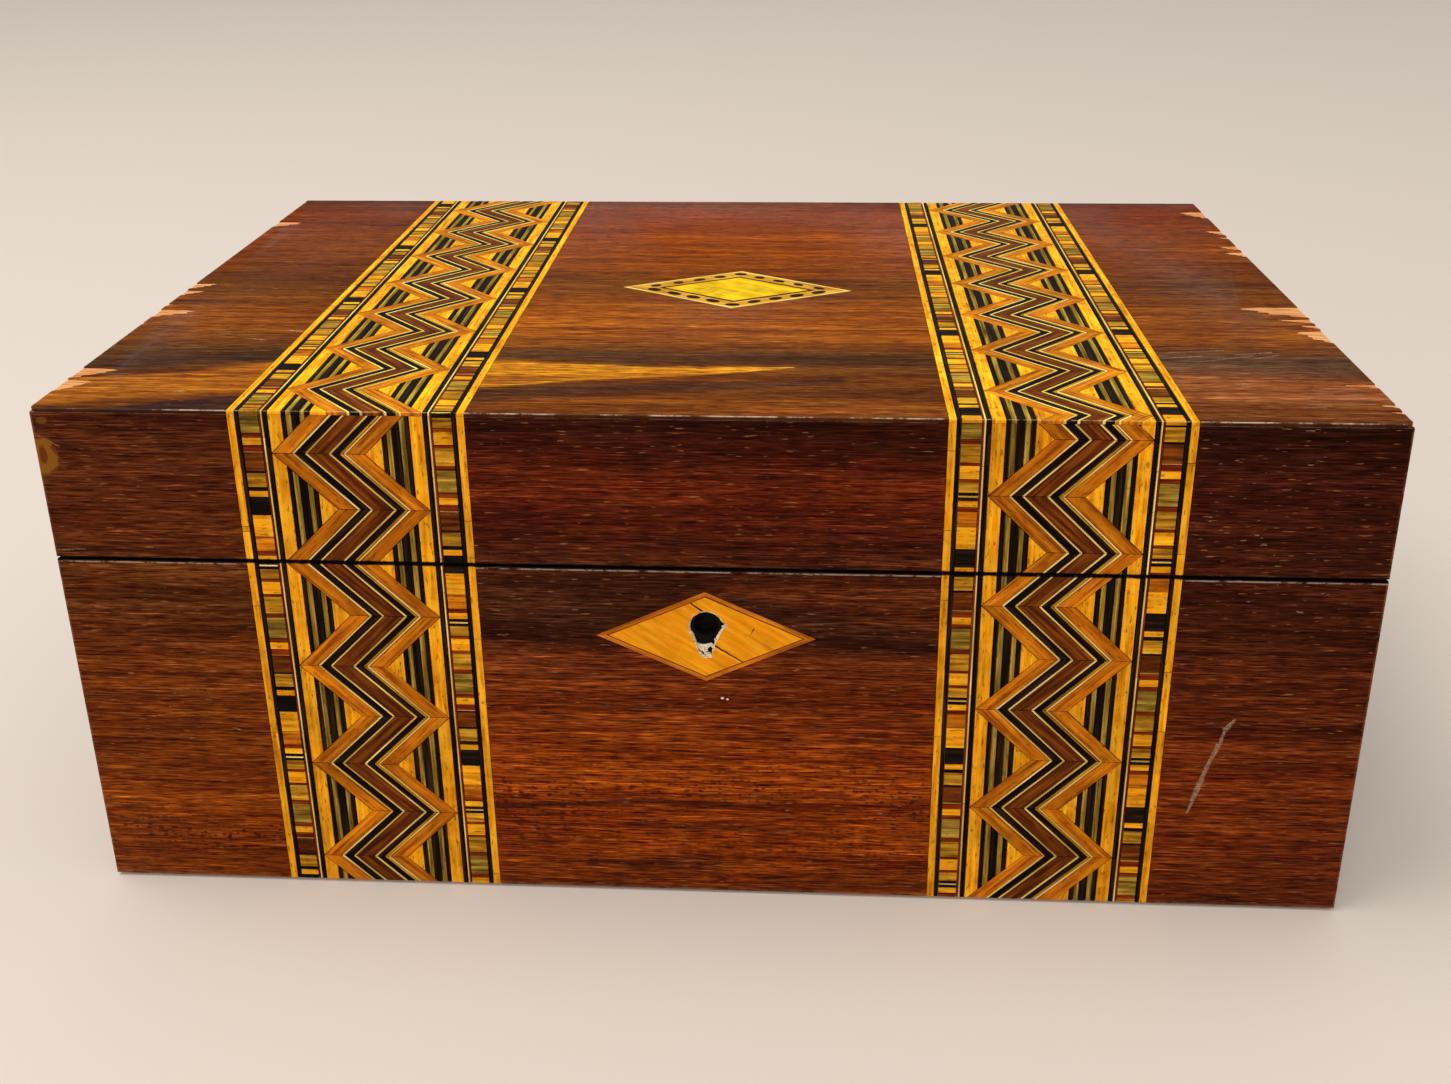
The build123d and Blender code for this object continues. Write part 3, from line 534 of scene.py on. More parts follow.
class Band:
    """The pieces of one stretch of a band, laid flat, with one mesh for each wood."""

    def __init__(self, left, span, tip, ladders):
        self.left, self.span, self.tip, self.ladders = left, span, tip, ladders
        self.meshes = {wood: sheet_of_pieces() for wood in woods}

    def cut(self, wood, x, v, lean=0, knives=(), grain=0):
        """One piece from a strip between two values each way, leaning as it rises, and trimmed by knives."""
        if v[1] <= self.span[0] or v[0] >= self.span[1]:
            return
        bm = self.meshes[wood]
        rise = Matrix.Identity(4)
        rise[0][1] = lean
        centre = moved((self.left + sum(x) / 2, sum(v) / 2, 0))
        shape = centre @ rise @ widened((x[1] - x[0], v[1] - v[0], 1, 1))
        verts = ops.create_grid(bm, x_segments=1, y_segments=1, size=0.5, matrix=shape)["verts"]
        geom = verts + list({e for p in verts for e in p.link_edges}) + list({s for p in verts for s in p.link_faces})
        ends = [((0, self.span[0]), (0, -1)), ((0, self.span[1]), (0, 1))]
        for point, normal in [*knives, *ends]:
            geom = ops.bisect_plane(bm, geom=geom, dist=1e-5, plane_co=(*point, 0), plane_no=(*normal, 0),
                                    clear_outer=True)["geom"]
            geom = [g for g in geom if g.is_valid]
        mark(bm, [g for g in geom if isinstance(g, kinds.BMFace)], grain)

    def lay(self):
        self.lay_border(0, 1, self.ladders[0])
        self.lay_border(band_width, -1, self.ladders[1])
        self.lay_teeth(border, 1, self.tip)
        self.lay_teeth(band_width - border, -1, self.tip - throw)
        for number, low in self.turns(self.tip, throw):
            at = border
            for wood, width in zigzag:
                start, way = (at, 1) if number % 2 == 0 else (at + throw, -1)
                x = (start + way * throw / 2, start + way * throw / 2 + width)
                self.cut(wood, x, (low, low + throw), way, grain=math.radians(90 - 45 * way))
                at += width

    def turns(self, start, step):
        """Numbers and places of the repeats that meet the span."""
        first, last = math.floor((self.span[0] - start) / step), math.ceil((self.span[1] - start) / step)
        return [(number, start + number * step) for number in range(first, last)]

    def lay_border(self, at, way, run):
        for wood, width in strings:
            x = sorted((at, at + way * width))
            if wood == "ladder":
                self.lay_ladder(x, *run)
            else:
                cuts = [self.span[0]] + sorted(chance.uniform(*self.span) for _ in range(2)) + [self.span[1]]
                for low, high in zip(cuts, cuts[1:]):
                    self.cut(wood, x, (low, high), grain=math.pi / 2)
            at += way * width

    def lay_ladder(self, x, start, way):
        run = sum(width for _, width in ladder)
        far = self.span[0] if way > 0 else self.span[1]
        place = start - way * run * math.ceil(abs(start - far) / run)
        for wood, width in ladder * (math.ceil((self.span[1] - self.span[0]) / run) + 2):
            self.cut(wood, x, sorted((place, place + way * width)))
            place += way * width

    def lay_teeth(self, base_line, way, start):
        for _, low in self.turns(start, pitch):
            near = 0
            slope = [((self.left + base_line, low), (way, -1)), ((self.left + base_line, low + pitch), (way, 1))]
            for wood, width in tooth:
                x = sorted((base_line + way * near, base_line + way * (near + width)))
                self.cut(wood, x, (low, low + pitch), knives=slope, grain=math.pi / 2)
                near += width

    def onto(self, side, joint, arris):
        """Parts the pieces by a hairline, gives them their thickness and lays them on a face of the box."""
        for bm in self.meshes.values():
            if not bm.faces:
                continue
            part_pieces(bm, joint)
            raise_up(bm, veneer)
            round_edges(bm, top_edges(bm), 0.05)
            for v in bm.verts:
                if arris is not None and abs(v.co.y - arris) < 0.12 and v.co.z > veneer - 0.02:
                    v.co.y += 0.16
                    v.co.z -= 0.1
                v.co.y = min(max(v.co.y, self.span[0]), self.span[1])
            lay_on(bm, side)
        return self.meshes


lefts = (-band_outer, band_inner)
runs_front = ((62.4, [(106, -1), (92, -1)]), (54.5, [(91.3, 1), (76, 1)]))
runs_top = ((0.1, [(-69.7, 1), (-60, 1)]), (3.3, [(15.8, -1), (17.4, -1)]))
layout = {"base": [("front", (underside, rim), runs_front, None)],
          "lid": [("front", (lid_floor, carcase_top), runs_front, None),
                  ("top", (-half_y, half_y), runs_top, -half_y)]}
for body, faces in layout.items():
    bands = []
    for side, span, runs, arris in faces:
        for left, (tip, ladders) in zip(lefts, runs):
            band = Band(left, span, tip, ladders)
            band.lay()
            bands.append(band.onto(side, hairline, arris))
    for wood in woods:
        bm = bmesh.new()
        for meshes in bands:
            pour(meshes[wood], bm)
        stands_for = [f"{body}_band_{wood}"] if f"{body}_band_{wood}" in node else []
        piece_from(bm, f"{body}_{wood}_pieces", woods[wood], body, stands_for)

# ---------------------------------------------------------------- rosewood panels
# Colours across the grain: each has its place, in millimetres from the middle of the top or from the floor
top_tones = [(-95, (108, 54, 8)), (-88, (126, 64, 10)), (-80, (100, 52, 12)), (-72, (114, 56, 8)),
             (-62, (104, 58, 18)), (-57, (98, 58, 22)), (-52, (118, 62, 14)), (-40, (158, 82, 13)),
             (-25, (152, 77, 9)), (-8, (126, 64, 8)), (4, (110, 54, 4)), (14, (132, 62, 2)), (30, (142, 64, 0)),
             (50, (154, 69, 0)), (64, (136, 55, 0)), (76, (146, 58, 0)), (95, (116, 44, 0))]
top_left_tones = [(place, tuple(v * 0.86 for v in tint)) for place, tint in top_tones]
top_right_tones = [(place, (0.89 * red, 0.9 * green, 0.9 * blue + 6)) for place, (red, green, blue) in top_tones]
front_tones = [(0, (102, 41, 5)), (8, (119, 48, 5)), (18, (132, 53, 5)), (26, (117, 45, 5)), (31, (148, 64, 8)),
               (38, (138, 58, 8)), (48, (114, 46, 8)), (60, (104, 42, 9)), (68, (94, 38, 11)), (73, (60, 26, 10)),
               (84, (62, 27, 10)), (92, (70, 27, 9)), (100, (78, 25, 7)), (110, (94, 31, 8)), (118, (62, 18, 5)),
               (127, (46, 13, 5))]
left_tones = [(0, (108, 45, 6)), (20, (128, 56, 7)), (40, (106, 46, 8)), (60, (108, 48, 10)), (76, (82, 39, 12)),
              (88, (92, 45, 14)), (96, (88, 37, 11)), (110, (84, 36, 12)), (127, (70, 28, 10))]
right_tones = [(0, (86, 32, 6)), (20, (104, 40, 6)), (36, (108, 42, 7)), (50, (84, 32, 7)), (66, (80, 30, 7)),
               (76, (62, 23, 6)), (90, (62, 22, 6)), (108, (60, 18, 6)), (127, (40, 12, 5))]
plain_tones = [(0, (78, 30, 9)), (20, (96, 38, 9)), (38, (84, 32, 9)), (52, (64, 24, 9)), (66, (88, 34, 10)),
               (84, (56, 22, 9)), (100, (82, 30, 9)), (114, (62, 22, 8)), (127, (52, 18, 8))]

# Chips in the side edges of the top: where each one starts and ends, and how far in it reaches
chips_left = [(92.4, 90.8, 3), (66.6, 60, 9), (-1, -6.4, 7), (-7.4, -12.6, 5.6), (-20, -22, 3),
              (-25, -31.2, 10), (-36, -37.4, 2.4), (-69, -76, 9), (-76.8, -84.6, 6.4)]
chips_right = [(84.6, 75.6, 7.4), (61, 55.6, 5.4), (53.6, 50.8, 4.4), (43.6, 38.8, 6), (37, 31.4, 5.4),
               (-15.6, -24.2, 14.8), (-25.4, -28.8, 8.4), (-30, -33, 5), (-34.2, -44, 6.2),
               (-71.4, -74, 8), (-83.6, -85.8, 4.4), (-87.6, -89.4, 3.2)]


def torn(edge, inward, chips):
    """Points of each chip down a torn edge, from the back to the front, with ragged tips along the grain."""
    every = []
    for back, front, reach in chips:
        wide, points = back - front, []
        for share, depth in ((0, 0), (0.06, 0.55), (0.14, 0.92), (0.24, 1), (0.4, 0.8), (0.5, 0.86),
                             (0.6, 0.55), (0.7, 0.6), (0.82, 0.26), (0.92, 0.3), (1, 0)):
            jitter = chance.uniform(-0.05, 0.05)
            depth = max(0, depth + (chance.uniform(-0.1, 0.1) if 0 < share < 1 else 0))
            points.append((edge + inward * reach * depth, back - wide * min(1, max(0, share + jitter * share))))
        every.append(points[:-1] + [(edge, front)])
    return every


def lozenge(centre, size, turn=0, inset=0):
    """Corners of a lozenge from its two diagonals, drawn in from its sides."""
    a, b = size[0] / 2, size[1] / 2
    keep = 1 - inset * math.hypot(a, b) / (a * b)
    corners = ((a * keep, 0), (0, b * keep), (-a * keep, 0), (0, -b * keep))
    return [tuple(Vector(centre) + Matrix.Rotation(turn, 2) @ Vector(p)) for p in corners]


def panel(name, side, outlines, material, body, stands_for=(), cuts=()):
    """A panel of veneer on one face, from its outline and openings, with its long edges softened."""
    bm = board(outlines)
    outer = [e for e in top_edges(bm) if e.calc_face_angle(0) > 0.5 and e.calc_length() > 3]
    ends = [e for e in outer if side in ("front", "back") and all(abs(v.co.x) > half_x - 0.01 for v in e.verts)]
    round_edges(bm, [e for e in outer if e not in ends], 0.14, 2)
    round_edges(bm, [e for e in ends if e.is_valid], 0.6, 3)
    lay_on(bm, side)
    for point, normal in cuts:
        knife(bm, Vector(point) * mm, normal)
    return piece_from(bm, name, material, body, stands_for)


def square(x, v, worn=None):
    """A panel's four corners, with its outer front corner worn round where worn says which side it is on."""
    corners = [(x[0], v[1]), (x[0], v[0]), (x[1], v[0]), (x[1], v[1])]
    if worn == "left":
        corners[1:2] = [(x[0], v[0] + 1.5), (x[0] + 0.3, v[0] + 0.6), (x[0] + 1.3, v[0])]
    if worn == "right":
        corners[2:3] = [(x[1] - 1.6, v[0]), (x[1] - 0.5, v[0] + 0.5), (x[1], v[0] + 1.4)]
    return corners


def streaks(*rows):
    """Streaks of one tint each: start and end along and across the grain, two widths, the tint and its share."""
    return [(((a, b), (c, d), wide, narrow), tint, share) for a, b, c, d, wide, narrow, tint, share in rows]


arrises = [("z", 126.1, 0.2, (205, 170, 140), 0.3), ("z", 88.95, 0.3, (196, 178, 158), 0.5),
           ("z", 0.8, 1.2, (150, 110, 80), 0.35)]
worn_left, worn_right = (("x", edge, 0.6, (150, 104, 72), 0.5) for edge in (-half_x, half_x))
dull = (164, 142, 124)
top_centre = rosewood(
    "rosewood_top_centre", "xy", top_tones, 1, lip=True,
    sapwood=streaks((-54, -71.6, 19, -64.4, 17, 0.4, (208, 132, 22), 0.95),
                    (-54, -76.6, -30, -73, 8, 1, (162, 90, 20), 0.6)),
    dark=streaks((-54, -58, 54, -60, 6, 9, (50, 30, 22), 0.42),
                 (-54, -86, 30, -72, 8, 5, (58, 32, 22), 0.7)),
    light=streaks((10, -91, 40, -90, 5, 2, (150, 76, 22), 0.5)))
top_left = rosewood(
    "rosewood_top_left", "xy", top_left_tones, 5, lip=True, worn=[worn_left],
    sapwood=streaks((-150, -84.6, -104, -74.2, 14, 20, (164, 92, 18), 0.9),
                    (-146, -80, -104, -70, 3, 11, (180, 104, 22), 0.3)),
    dark=streaks((-150, -66, -104, -60, 7, 7, (58, 36, 26), 0.7),
                 (-134, -96, -104, -89.5, 3, 9, (52, 28, 26), 0.9)),
    splits=streaks((-119, -47.5, -113, -48.6, 0.2, 0.5, (206, 176, 160), 0.6),
                   (-110, -41, -106, -42, 0.3, 0.5, (226, 206, 196), 0.8),
                   (-131, -43.5, -124, -44, 0.2, 0.4, (176, 140, 120), 0.5),
                   (-122, -84, -119.5, -83.6, 0.4, 0.5, (216, 186, 150), 0.7),
                   (-130, -55, -126, -54, 0.2, 0.4, (166, 136, 120), 0.5)))
top_right = rosewood(
    "rosewood_top_right", "xy", top_right_tones, 9, lip=True, worn=[worn_right],
    dark=streaks((104, -60, 150, -63, 17, 12, (92, 66, 48), 0.45)),
    light=streaks((104, -75, 150, -76, 21, 16, (158, 88, 42), 0.75)),
    splits=streaks((118, -26.4, 146, -25.9, 0.1, 0.8, (40, 16, 8), 1),
                   (108, -52, 122, -50, 0.2, 0.7, (160, 140, 124), 0.6),
                   (106, -56, 116, -54, 0.3, 0.6, (166, 150, 134), 0.6),
                   (113, -58.5, 128, -53.5, 0.2, 0.7, (156, 138, 122), 0.55),
                   (119, -72.6, 122, -72.2, 0.9, 0.5, dull, 0.45), (119.6, -74.2, 121.6, -74, 0.4, 0.8, dull, 0.45),
                   (131, -84.4, 136, -84.8, 0.5, 0.9, (164, 144, 116), 0.45),
                   (130, -86.2, 134.5, -86, 0.3, 0.7, (164, 144, 116), 0.45),
                   (124, -53, 133, -51, 0.4, 0.8, (160, 140, 126), 0.6),
                   (128, -55.5, 134, -53, 0.3, 0.6, (166, 148, 130), 0.6)))
front_centre = rosewood(
    "rosewood_front_centre", "xz", front_tones, 13, specks=(25, 27), contrast=1.3, worn=arrises,
    dark=streaks((-30, 9, 2, 10, 3, 5, (56, 22, 8), 0.6), (-52, 24.5, 10, 25.5, 1.2, 2, (48, 18, 8), 0.7),
                 (-20, 19, 30, 18, 1, 1.6, (50, 18, 8), 0.55), (28, 72, 54, 70, 3, 2, (40, 17, 8), 0.6)),
    light=streaks((2, 85.5, 54, 82, 0.5, 14, (104, 44, 12), 0.5)),
    dabs=[((-6.6, 12.6), (2, 1.4), (60, 24, 9), (66, 26, 10), 0.45),
          ((-11.8, 8.4), (1.5, 1.8), (62, 25, 9), (66, 26, 10), 0.4),
          ((3.2, 56), (0.42, 0.3), (236, 224, 206), (190, 160, 130), 0.9),
          ((4.4, 55.7), (0.34, 0.22), (236, 224, 206), (190, 160, 130), 0.9)])
front_left = rosewood(
    "rosewood_front_left", "xz", left_tones, 17, specks=(14, 12), contrast=1.2, worn=arrises + [worn_left],
    dabs=[((-149.2, 115), (4, 4.9), (140, 86, 22), (96, 52, 18), 0.8),
          ((-148.6, 115.6), (0.9, 2.2), (78, 22, 8), (70, 22, 8), 0.7),
          ((-147.6, 124), (1.4, 1), (120, 76, 26), (90, 50, 20), 0.5)],
    splits=streaks((-149, 120.4, -144.6, 117.8, 0.2, 0.35, (170, 120, 90), 0.7),
                   (-149.6, 91.8, -143, 92.2, 0.35, 0.2, (150, 130, 124), 0.6)))
front_right = rosewood(
    "rosewood_front_right", "xz", right_tones, 21, contrast=1.3, worn=arrises + [worn_right],
    splits=streaks(*((*start, *end, wide, narrow, (164, 138, 114), 0.78) for start, end, wide, narrow in (
        ((112.6, 27.4), (114.2, 34), 0.5, 1.3), ((114.2, 34), (116.2, 41.5), 1.3, 0.8),
        ((116.2, 41.5), (118, 46.6), 0.8, 1.2), ((118, 46.6), (119, 50.6), 0.8, 0.9),
        ((119, 50.6), (120.8, 53.4), 1.5, 0.7)))))
ends = rosewood("rosewood_ends", "yz", plain_tones, 25, specks=(30, 22), worn=arrises)
back = rosewood("rosewood_back", "xz", plain_tones, 31, worn=arrises, contrast=0.8)

front_loz = ((-0.5, 72.2), (50.4, 23.3), 0)
lid_loz = ((2.6, -3.2), (62.8, 33.8), math.radians(-2))
levels = {"base": (underside, rim), "lid": (lid_floor, carcase_top)}
centre_x, left_x, right_x = (-band_inner, band_inner), (-half_x, -band_outer), (band_outer, half_x)
for body, openings in (("base", [lozenge(*front_loz)]), ("lid", [])):
    panel(f"{body}_front_centre", "front", [square(centre_x, levels[body])] + openings, front_centre, body,
          [f"{body}_front_veneer"])
    panel(f"{body}_front_left", "front", [square(left_x, levels[body])], front_left, body)
    panel(f"{body}_front_right", "front", [square(right_x, levels[body])], front_right, body)
panel("lid_top_centre", "top", [square(centre_x, (-half_y, half_y)), lozenge(*lid_loz)], top_centre, "lid",
      ["lid_top_veneer"])
for side, way, x, material, chips in (("left", 1, left_x, top_left, chips_left),
                                      ("right", -1, right_x, top_right, chips_right)):
    gaps = torn(-way * half_x, way, chips)
    down = [point for gap in gaps for point in gap]
    outline = square(x, (-half_y, half_y), side)
    outline = outline[:1] + down + outline[1:] if way > 0 else outline[:-1] + down[::-1] + outline[-1:]
    panel(f"lid_top_{side}", "top", [outline], material, "lid")
    bm = sheet_of_pieces()
    for gap in gaps:
        pour(board([gap]), bm)
    for v in bm.verts:
        if v.co.z > 0.5:
            v.co.z = 0.56 + 0.024 * min(9, half_x - abs(v.co.x)) + chance.uniform(-0.04, 0.04)
    piece_from(lay_on(bm, "top"), f"lid_torn_{side}", bare_veneer, "lid")

# The back edges slope away from the hinges, so that the lid can lie back
slope = math.radians(50)
for body, way in (("base", 1), ("lid", -1)):
    bevel_off = [((0, 90.804, shut_line), (0, math.sin(slope), way * math.cos(slope)))]
    low, high = levels[body]
    panel(f"{body}_back", "back", [square((-half_x, half_x), (low, high))], back, body, [f"{body}_back_veneer"],
          bevel_off)
    for side, chips, turn in (("left", chips_left, -1), ("right", chips_right, 1)):
        notches = [(b, a, min(1.7, reach * 0.16)) for b, a, reach in chips if reach > 4] if body == "lid" else []
        edge = [(turn * y, z) for gap in torn(high, -1, notches) for z, y in gap]
        across = (-turn * carcase_y, turn * carcase_y)
        panel(f"{body}_{side}", side, [square(across, (low, high)) + edge], ends, body, [f"{body}_{side}_veneer"],
              bevel_off)


# ---------------------------------------------------------------- lozenges and keyhole
def inlaid(name, side, pieces, material, body, stands_for=(), thickness=veneer, joint=0.02):
    """Flat pieces let into a face, each from the corners of its outline, with the grain along its first side."""
    bm = sheet_of_pieces()
    for points in pieces:
        verts = [bm.verts.new((x, y, 0)) for x, y in points]
        run = verts[1].co - verts[0].co
        mark(bm, [bm.faces.new(verts)], math.atan2(run.y, run.x))
    part_pieces(bm, joint)
    raise_up(bm, thickness)
    round_edges(bm, top_edges(bm, thickness), 0.04)
    return piece_from(lay_on(bm, side), name, material, body, stands_for)


def strips(loz, outer, inner):
    """The four mitred strips between two insets of a lozenge."""
    far, near = lozenge(*loz, outer), lozenge(*loz, inner)
    return [[far[i], far[(i + 1) % 4], near[(i + 1) % 4], near[i]] for i in range(4)]


cracks = [((-4.6, 81.6), (-0.9, 78.8), 0.34, 0.6), ((1.2, 70.3), (8.9, 65.2), 0.56, 0.3),
          ((9.9, 73), (10.5, 74.5), 0.2, 0.6)]
# Pieces that lie only on the top get no painted top light
no_top_light = (1, 1, 1)
amber = inlay("satinwood_amber", (236, 148, 13), (222, 131, 8), (247, 166, 29), 0.5, 0.15, 0.02, 0.3, cracks)
orange = inlay("yew_orange", (196, 106, 18), (158, 78, 12), (216, 132, 34), 1, 0.3, 0.06)
sunny = inlay("satinwood_sunny", (250, 200, 8), (234, 172, 4), (255, 216, 30), 1.2, 0.15, 0.02, 0.8, top_light=no_top_light)
honey = inlay("boxwood_honey", (234, 168, 44), (206, 134, 26), (246, 194, 82), 1, 0.35, 0.06, top_light=no_top_light)
umber = inlay("ebony_umber", (32, 14, 6), (20, 8, 4), (58, 28, 10), 0.5, spread=0.1)

# A keyhole worn and broken open: its outline from the top, round to the right
keyhole_at = Vector((-0.55, 74.5))
keyhole = [(0.4, 4.1), (2.1, 3.5), (3.2, 2.4), (3.9, 1.4), (4.8, 0.9), (3.9, -0.1), (2.8, -1.8), (2.2, -3.2),
           (1.9, -4.7), (1.5, -6.2), (1.4, -7.3), (-0.4, -7.4), (-1.4, -6.1), (-1.8, -4.7), (-2.2, -3.5),
           (-2.7, -1.9), (-3.4, -0.6), (-3.4, 1), (-2.7, 2.7), (-1.3, 3.7)]
slot_plugs = [[(-1.9, -4.2), (-0.8, -4.6), (0.3, -4.5), (1.3, -4.2), (1.9, -4.6), (1, -5.1), (0.4, -5.5), (0.2, -6.3),
               (-0.4, -6.6), (-0.9, -5.9), (-1.5, -5.2)],
              [(-0.35, -6.75), (0.5, -6.5), (1.3, -6.9), (1.35, -7.4), (-0.35, -7.4)]]


def ragged(points, out, rough):
    """An outline pushed out from its middle, unevenly."""
    middle = Vector((0, -0.8))
    pushed = []
    for a, b in zip(points, points[1:] + points[:1]):
        for share in (0, 0.5):
            p = Vector(a).lerp(Vector(b), share)
            pushed.append(tuple(keyhole_at + p + (p - middle).normalized() * (out + chance.uniform(-rough, rough))))
    return pushed


surface_rim, inner_rim = ragged(keyhole, 0.4, 0.16), ragged(keyhole, 0, 0.1)
bm = board([lozenge(*front_loz, 1.24), surface_rim], grain=math.radians(-34))
piece_from(lay_on(bm, "front"), "escutcheon_diamond", amber, "base", ["escutcheon_field"])
inlaid("escutcheon_strips", "front", strips(front_loz, 0, 1.02), orange, "base", ["escutcheon_border"])
inlaid("escutcheon_line", "front", strips(front_loz, 1, 1.24), woods["rosewood"], "base", joint=0.01)

# The throat behind it: a dark shelf just above the wall, round a closed well, both near black as painted shade inside
# the hole
well_middle, well_radius, well_depth, well_sides = keyhole_at + Vector((0.15, 0.5)), 2.9, 2.7, 24
well = [tuple(well_middle + well_radius * Vector((math.cos(turn), math.sin(turn))))
        for turn in (math.tau * step / well_sides for step in range(well_sides))]
bm = bmesh.new()
walls = [rim_of(bm, well, z) for z in (0.05, -well_depth)]
ops.bridge_loops(bm, edges=walls[0] + walls[1])
fill(bm, walls[1])
ops.recalc_face_normals(bm, faces=bm.faces)
ops.solidify(bm, geom=bm.faces[:], thickness=0.12)
shelf = board([inner_rim, well], thickness=0.06)
ops.translate(shelf, vec=(0, 0, 0.02), verts=shelf.verts)
pour(shelf, bm)
piece_from(lay_on(bm, "front"), "keyhole_throat", keyhole_shade, "base")

# The torn rim, its splinters and what fills the slot: each splinter has its base, its tip and its thickness
bm = bmesh.new()
runs = [rim_of(bm, points, z) for points, z in ((surface_rim, 0.88), (inner_rim, 0.4), (inner_rim, 0),
                                                (surface_rim, 0))]
for a, b in zip(runs, runs[1:] + runs[:1]):
    ops.bridge_loops(bm, edges=a + b)
for *ends_of, thick in ((-0.9, -6.1, 0.5, -1.5, -4.4, 0.8, 0.28), (0, -6.4, 0.5, -0.4, -4.6, 0.78, 0.3),
                        (0.3, -6, 0.5, 0.6, -4.3, 0.8, 0.26), (-1.3, -5.6, 0.5, -1.9, -4.3, 0.8, 0.22),
                        (1.3, -7.3, 0.6, 0.3, -6.8, 0.84, 0.24), (1.7, -5.2, 0.6, 1.2, -4.3, 0.85, 0.24),
                        (-1.9, -4.6, 0.7, -3.1, -5.3, 0.84, 0.26), (-2, -4, 0.7, -2.9, -4.3, 0.84, 0.18),
                        (1.6, -4.6, 0.7, 2.7, -5.4, 0.84, 0.24), (-0.6, -7.1, 0.7, 1.1, -7.5, 0.8, 0.22),
                        (3.9, 0.4, 0.7, 5, 1.4, 0.84, 0.2), (-3.3, -0.9, 0.6, -3.9, -1.5, 0.84, 0.16),
                        (2.2, -2.7, 0.7, 2.5, -4.3, 0.84, 0.2), (0.1, -5.8, 0.8, 0.4, -4.2, 0.6, 0.2)):
    start, end = (keyhole_at.to_3d() + Vector(place) for place in (ends_of[:3], ends_of[3:]))
    run = end - start
    aim = run.to_track_quat("Z", "Y").to_matrix().to_4x4()
    ops.create_cone(bm, cap_ends=True, segments=6, radius1=thick * chance.uniform(0.8, 1.1), radius2=0.04,
                    depth=run.length, matrix=moved((start + end) / 2) @ aim)
for outline in slot_plugs:
    plug = board([[tuple(keyhole_at + Vector(p)) for p in outline]], thickness=0.5)
    for v in plug.verts:
        if v.co.z > 0.3:
            v.co.z -= chance.uniform(0, 0.2)
    pour(plug, bm)
for v in bm.verts:
    v.co.z = min(v.co.z, veneer)
piece_from(lay_on(bm, "front"), "keyhole_splinters", whiskers, "base", (), 50)

inlaid("lid_lozenge_edge", "top", strips(lid_loz, 0, 0.62), woods["boxwood"], "lid")
inlaid("lid_lozenge_frame", "top", strips(lid_loz, 0.6, 4.7), honey, "lid", ["lid_lozenge_border"],
       veneer - 0.03)
inlaid("lid_lozenge_string", "top", strips(lid_loz, 4.7, 5.5), umber, "lid", ["lid_lozenge_line"])
inlaid("lid_lozenge_heart", "top", [lozenge(*lid_loz, 5.5)], sunny, "lid", ["lid_lozenge_field"])

bm = sheet_of_pieces()
ring = lozenge(*lid_loz, 2.6)
for peak, tip, share in [(ring[peak], ring[tip], share) for peak in (1, 3) for tip in (0, 2)
                         for share in (0, 0.215, 0.43, 0.645, 0.87) if share or tip == 0]:
    run = Vector(tip) - Vector(peak)
    lean = math.atan2(run.y, run.x) if share else lid_loz[2]
    shape = moved((*(Vector(peak) + run * share), 0))
    shape = shape @ Matrix.Rotation(lean + chance.uniform(-0.12, 0.12), 4, "Z")
    swell = 1.2 if peak[1] < lid_loz[0][1] else 1
    shape = shape @ widened((chance.uniform(1.5, 1.85) * swell, chance.uniform(0.92, 1.1) * swell, 1, 1))
    ops.create_circle(bm, cap_ends=True, segments=16, radius=1, matrix=shape)
mark(bm, bm.faces, 0)
raise_up(bm, veneer)
piece_from(lay_on(bm, "top"), "lid_lozenge_ovals", umber, "lid", ["lid_lozenge_beads"])

# ---------------------------------------------------------------- carcase, metalwork and linings
sides = ("front", "back", "left", "right")
for material, names in (
        (pine("pine_long", "xz", 3), [f"{body}_{side}_wall" for body in ("base", "lid") for side in sides[:2]]),
        (pine("pine_cross", "yz", 8), [f"{body}_{side}_wall" for body in ("base", "lid") for side in sides[2:]]),
        (pine("pine_top", "xy", 13), ["lid_top_board"]),
        (pine("pine_floor", "xy", 17, 0.85), ["base_bottom_board"]),
        (brass, ["lock_plate", "link_plate", "base_hinge_leaves", "lid_hinge_leaves", "hinge_pins"]),
        (dull_brass, ["lock_bolt", "lock_cap", "lock_drill_pin"]),
        (steel, ["lock_spring"]),
        (lining, [f"base_{side}_lining" for side in sides] + ["lid_linings"])):
    for name in names:
        for held in node[name].material_slots:
            held.material = material

head, neck, shank, countersink, slot_width = 2.1, 1.55, 1.05, 0.6, 0.48


def screw(bm, place, facing, length):
    """A countersunk screw with a cut slot, its head level with a place."""
    made = bmesh.new()
    for way in (1, -1):
        half = bmesh.new()
        ops.create_cone(half, cap_ends=True, segments=32, radius1=neck, radius2=head, depth=countersink,
                        matrix=moved((0, 0, -countersink / 2)))
        knife(half, (0, way * slot_width / 2, 0), (0, -way, 0))
        pour(half, made)
    for low, high, r_low, r_high in ((-1.2, -0.6, shank, neck), (-length, -1.2, 0.25, shank)):
        ops.create_cone(made, cap_ends=True, segments=24, radius1=r_low, radius2=r_high, depth=high - low,
                        matrix=moved((0, 0, (low + high) / 2)))
    aim = Vector(facing).to_track_quat("Z", "Y").to_matrix().to_4x4()
    shape = moved(place) @ aim @ Matrix.Rotation(chance.uniform(0, math.pi), 4, "Z")
    ops.transform(made, matrix=Matrix.Scale(mm, 4) @ shape, verts=made.verts)
    pour(made, bm)


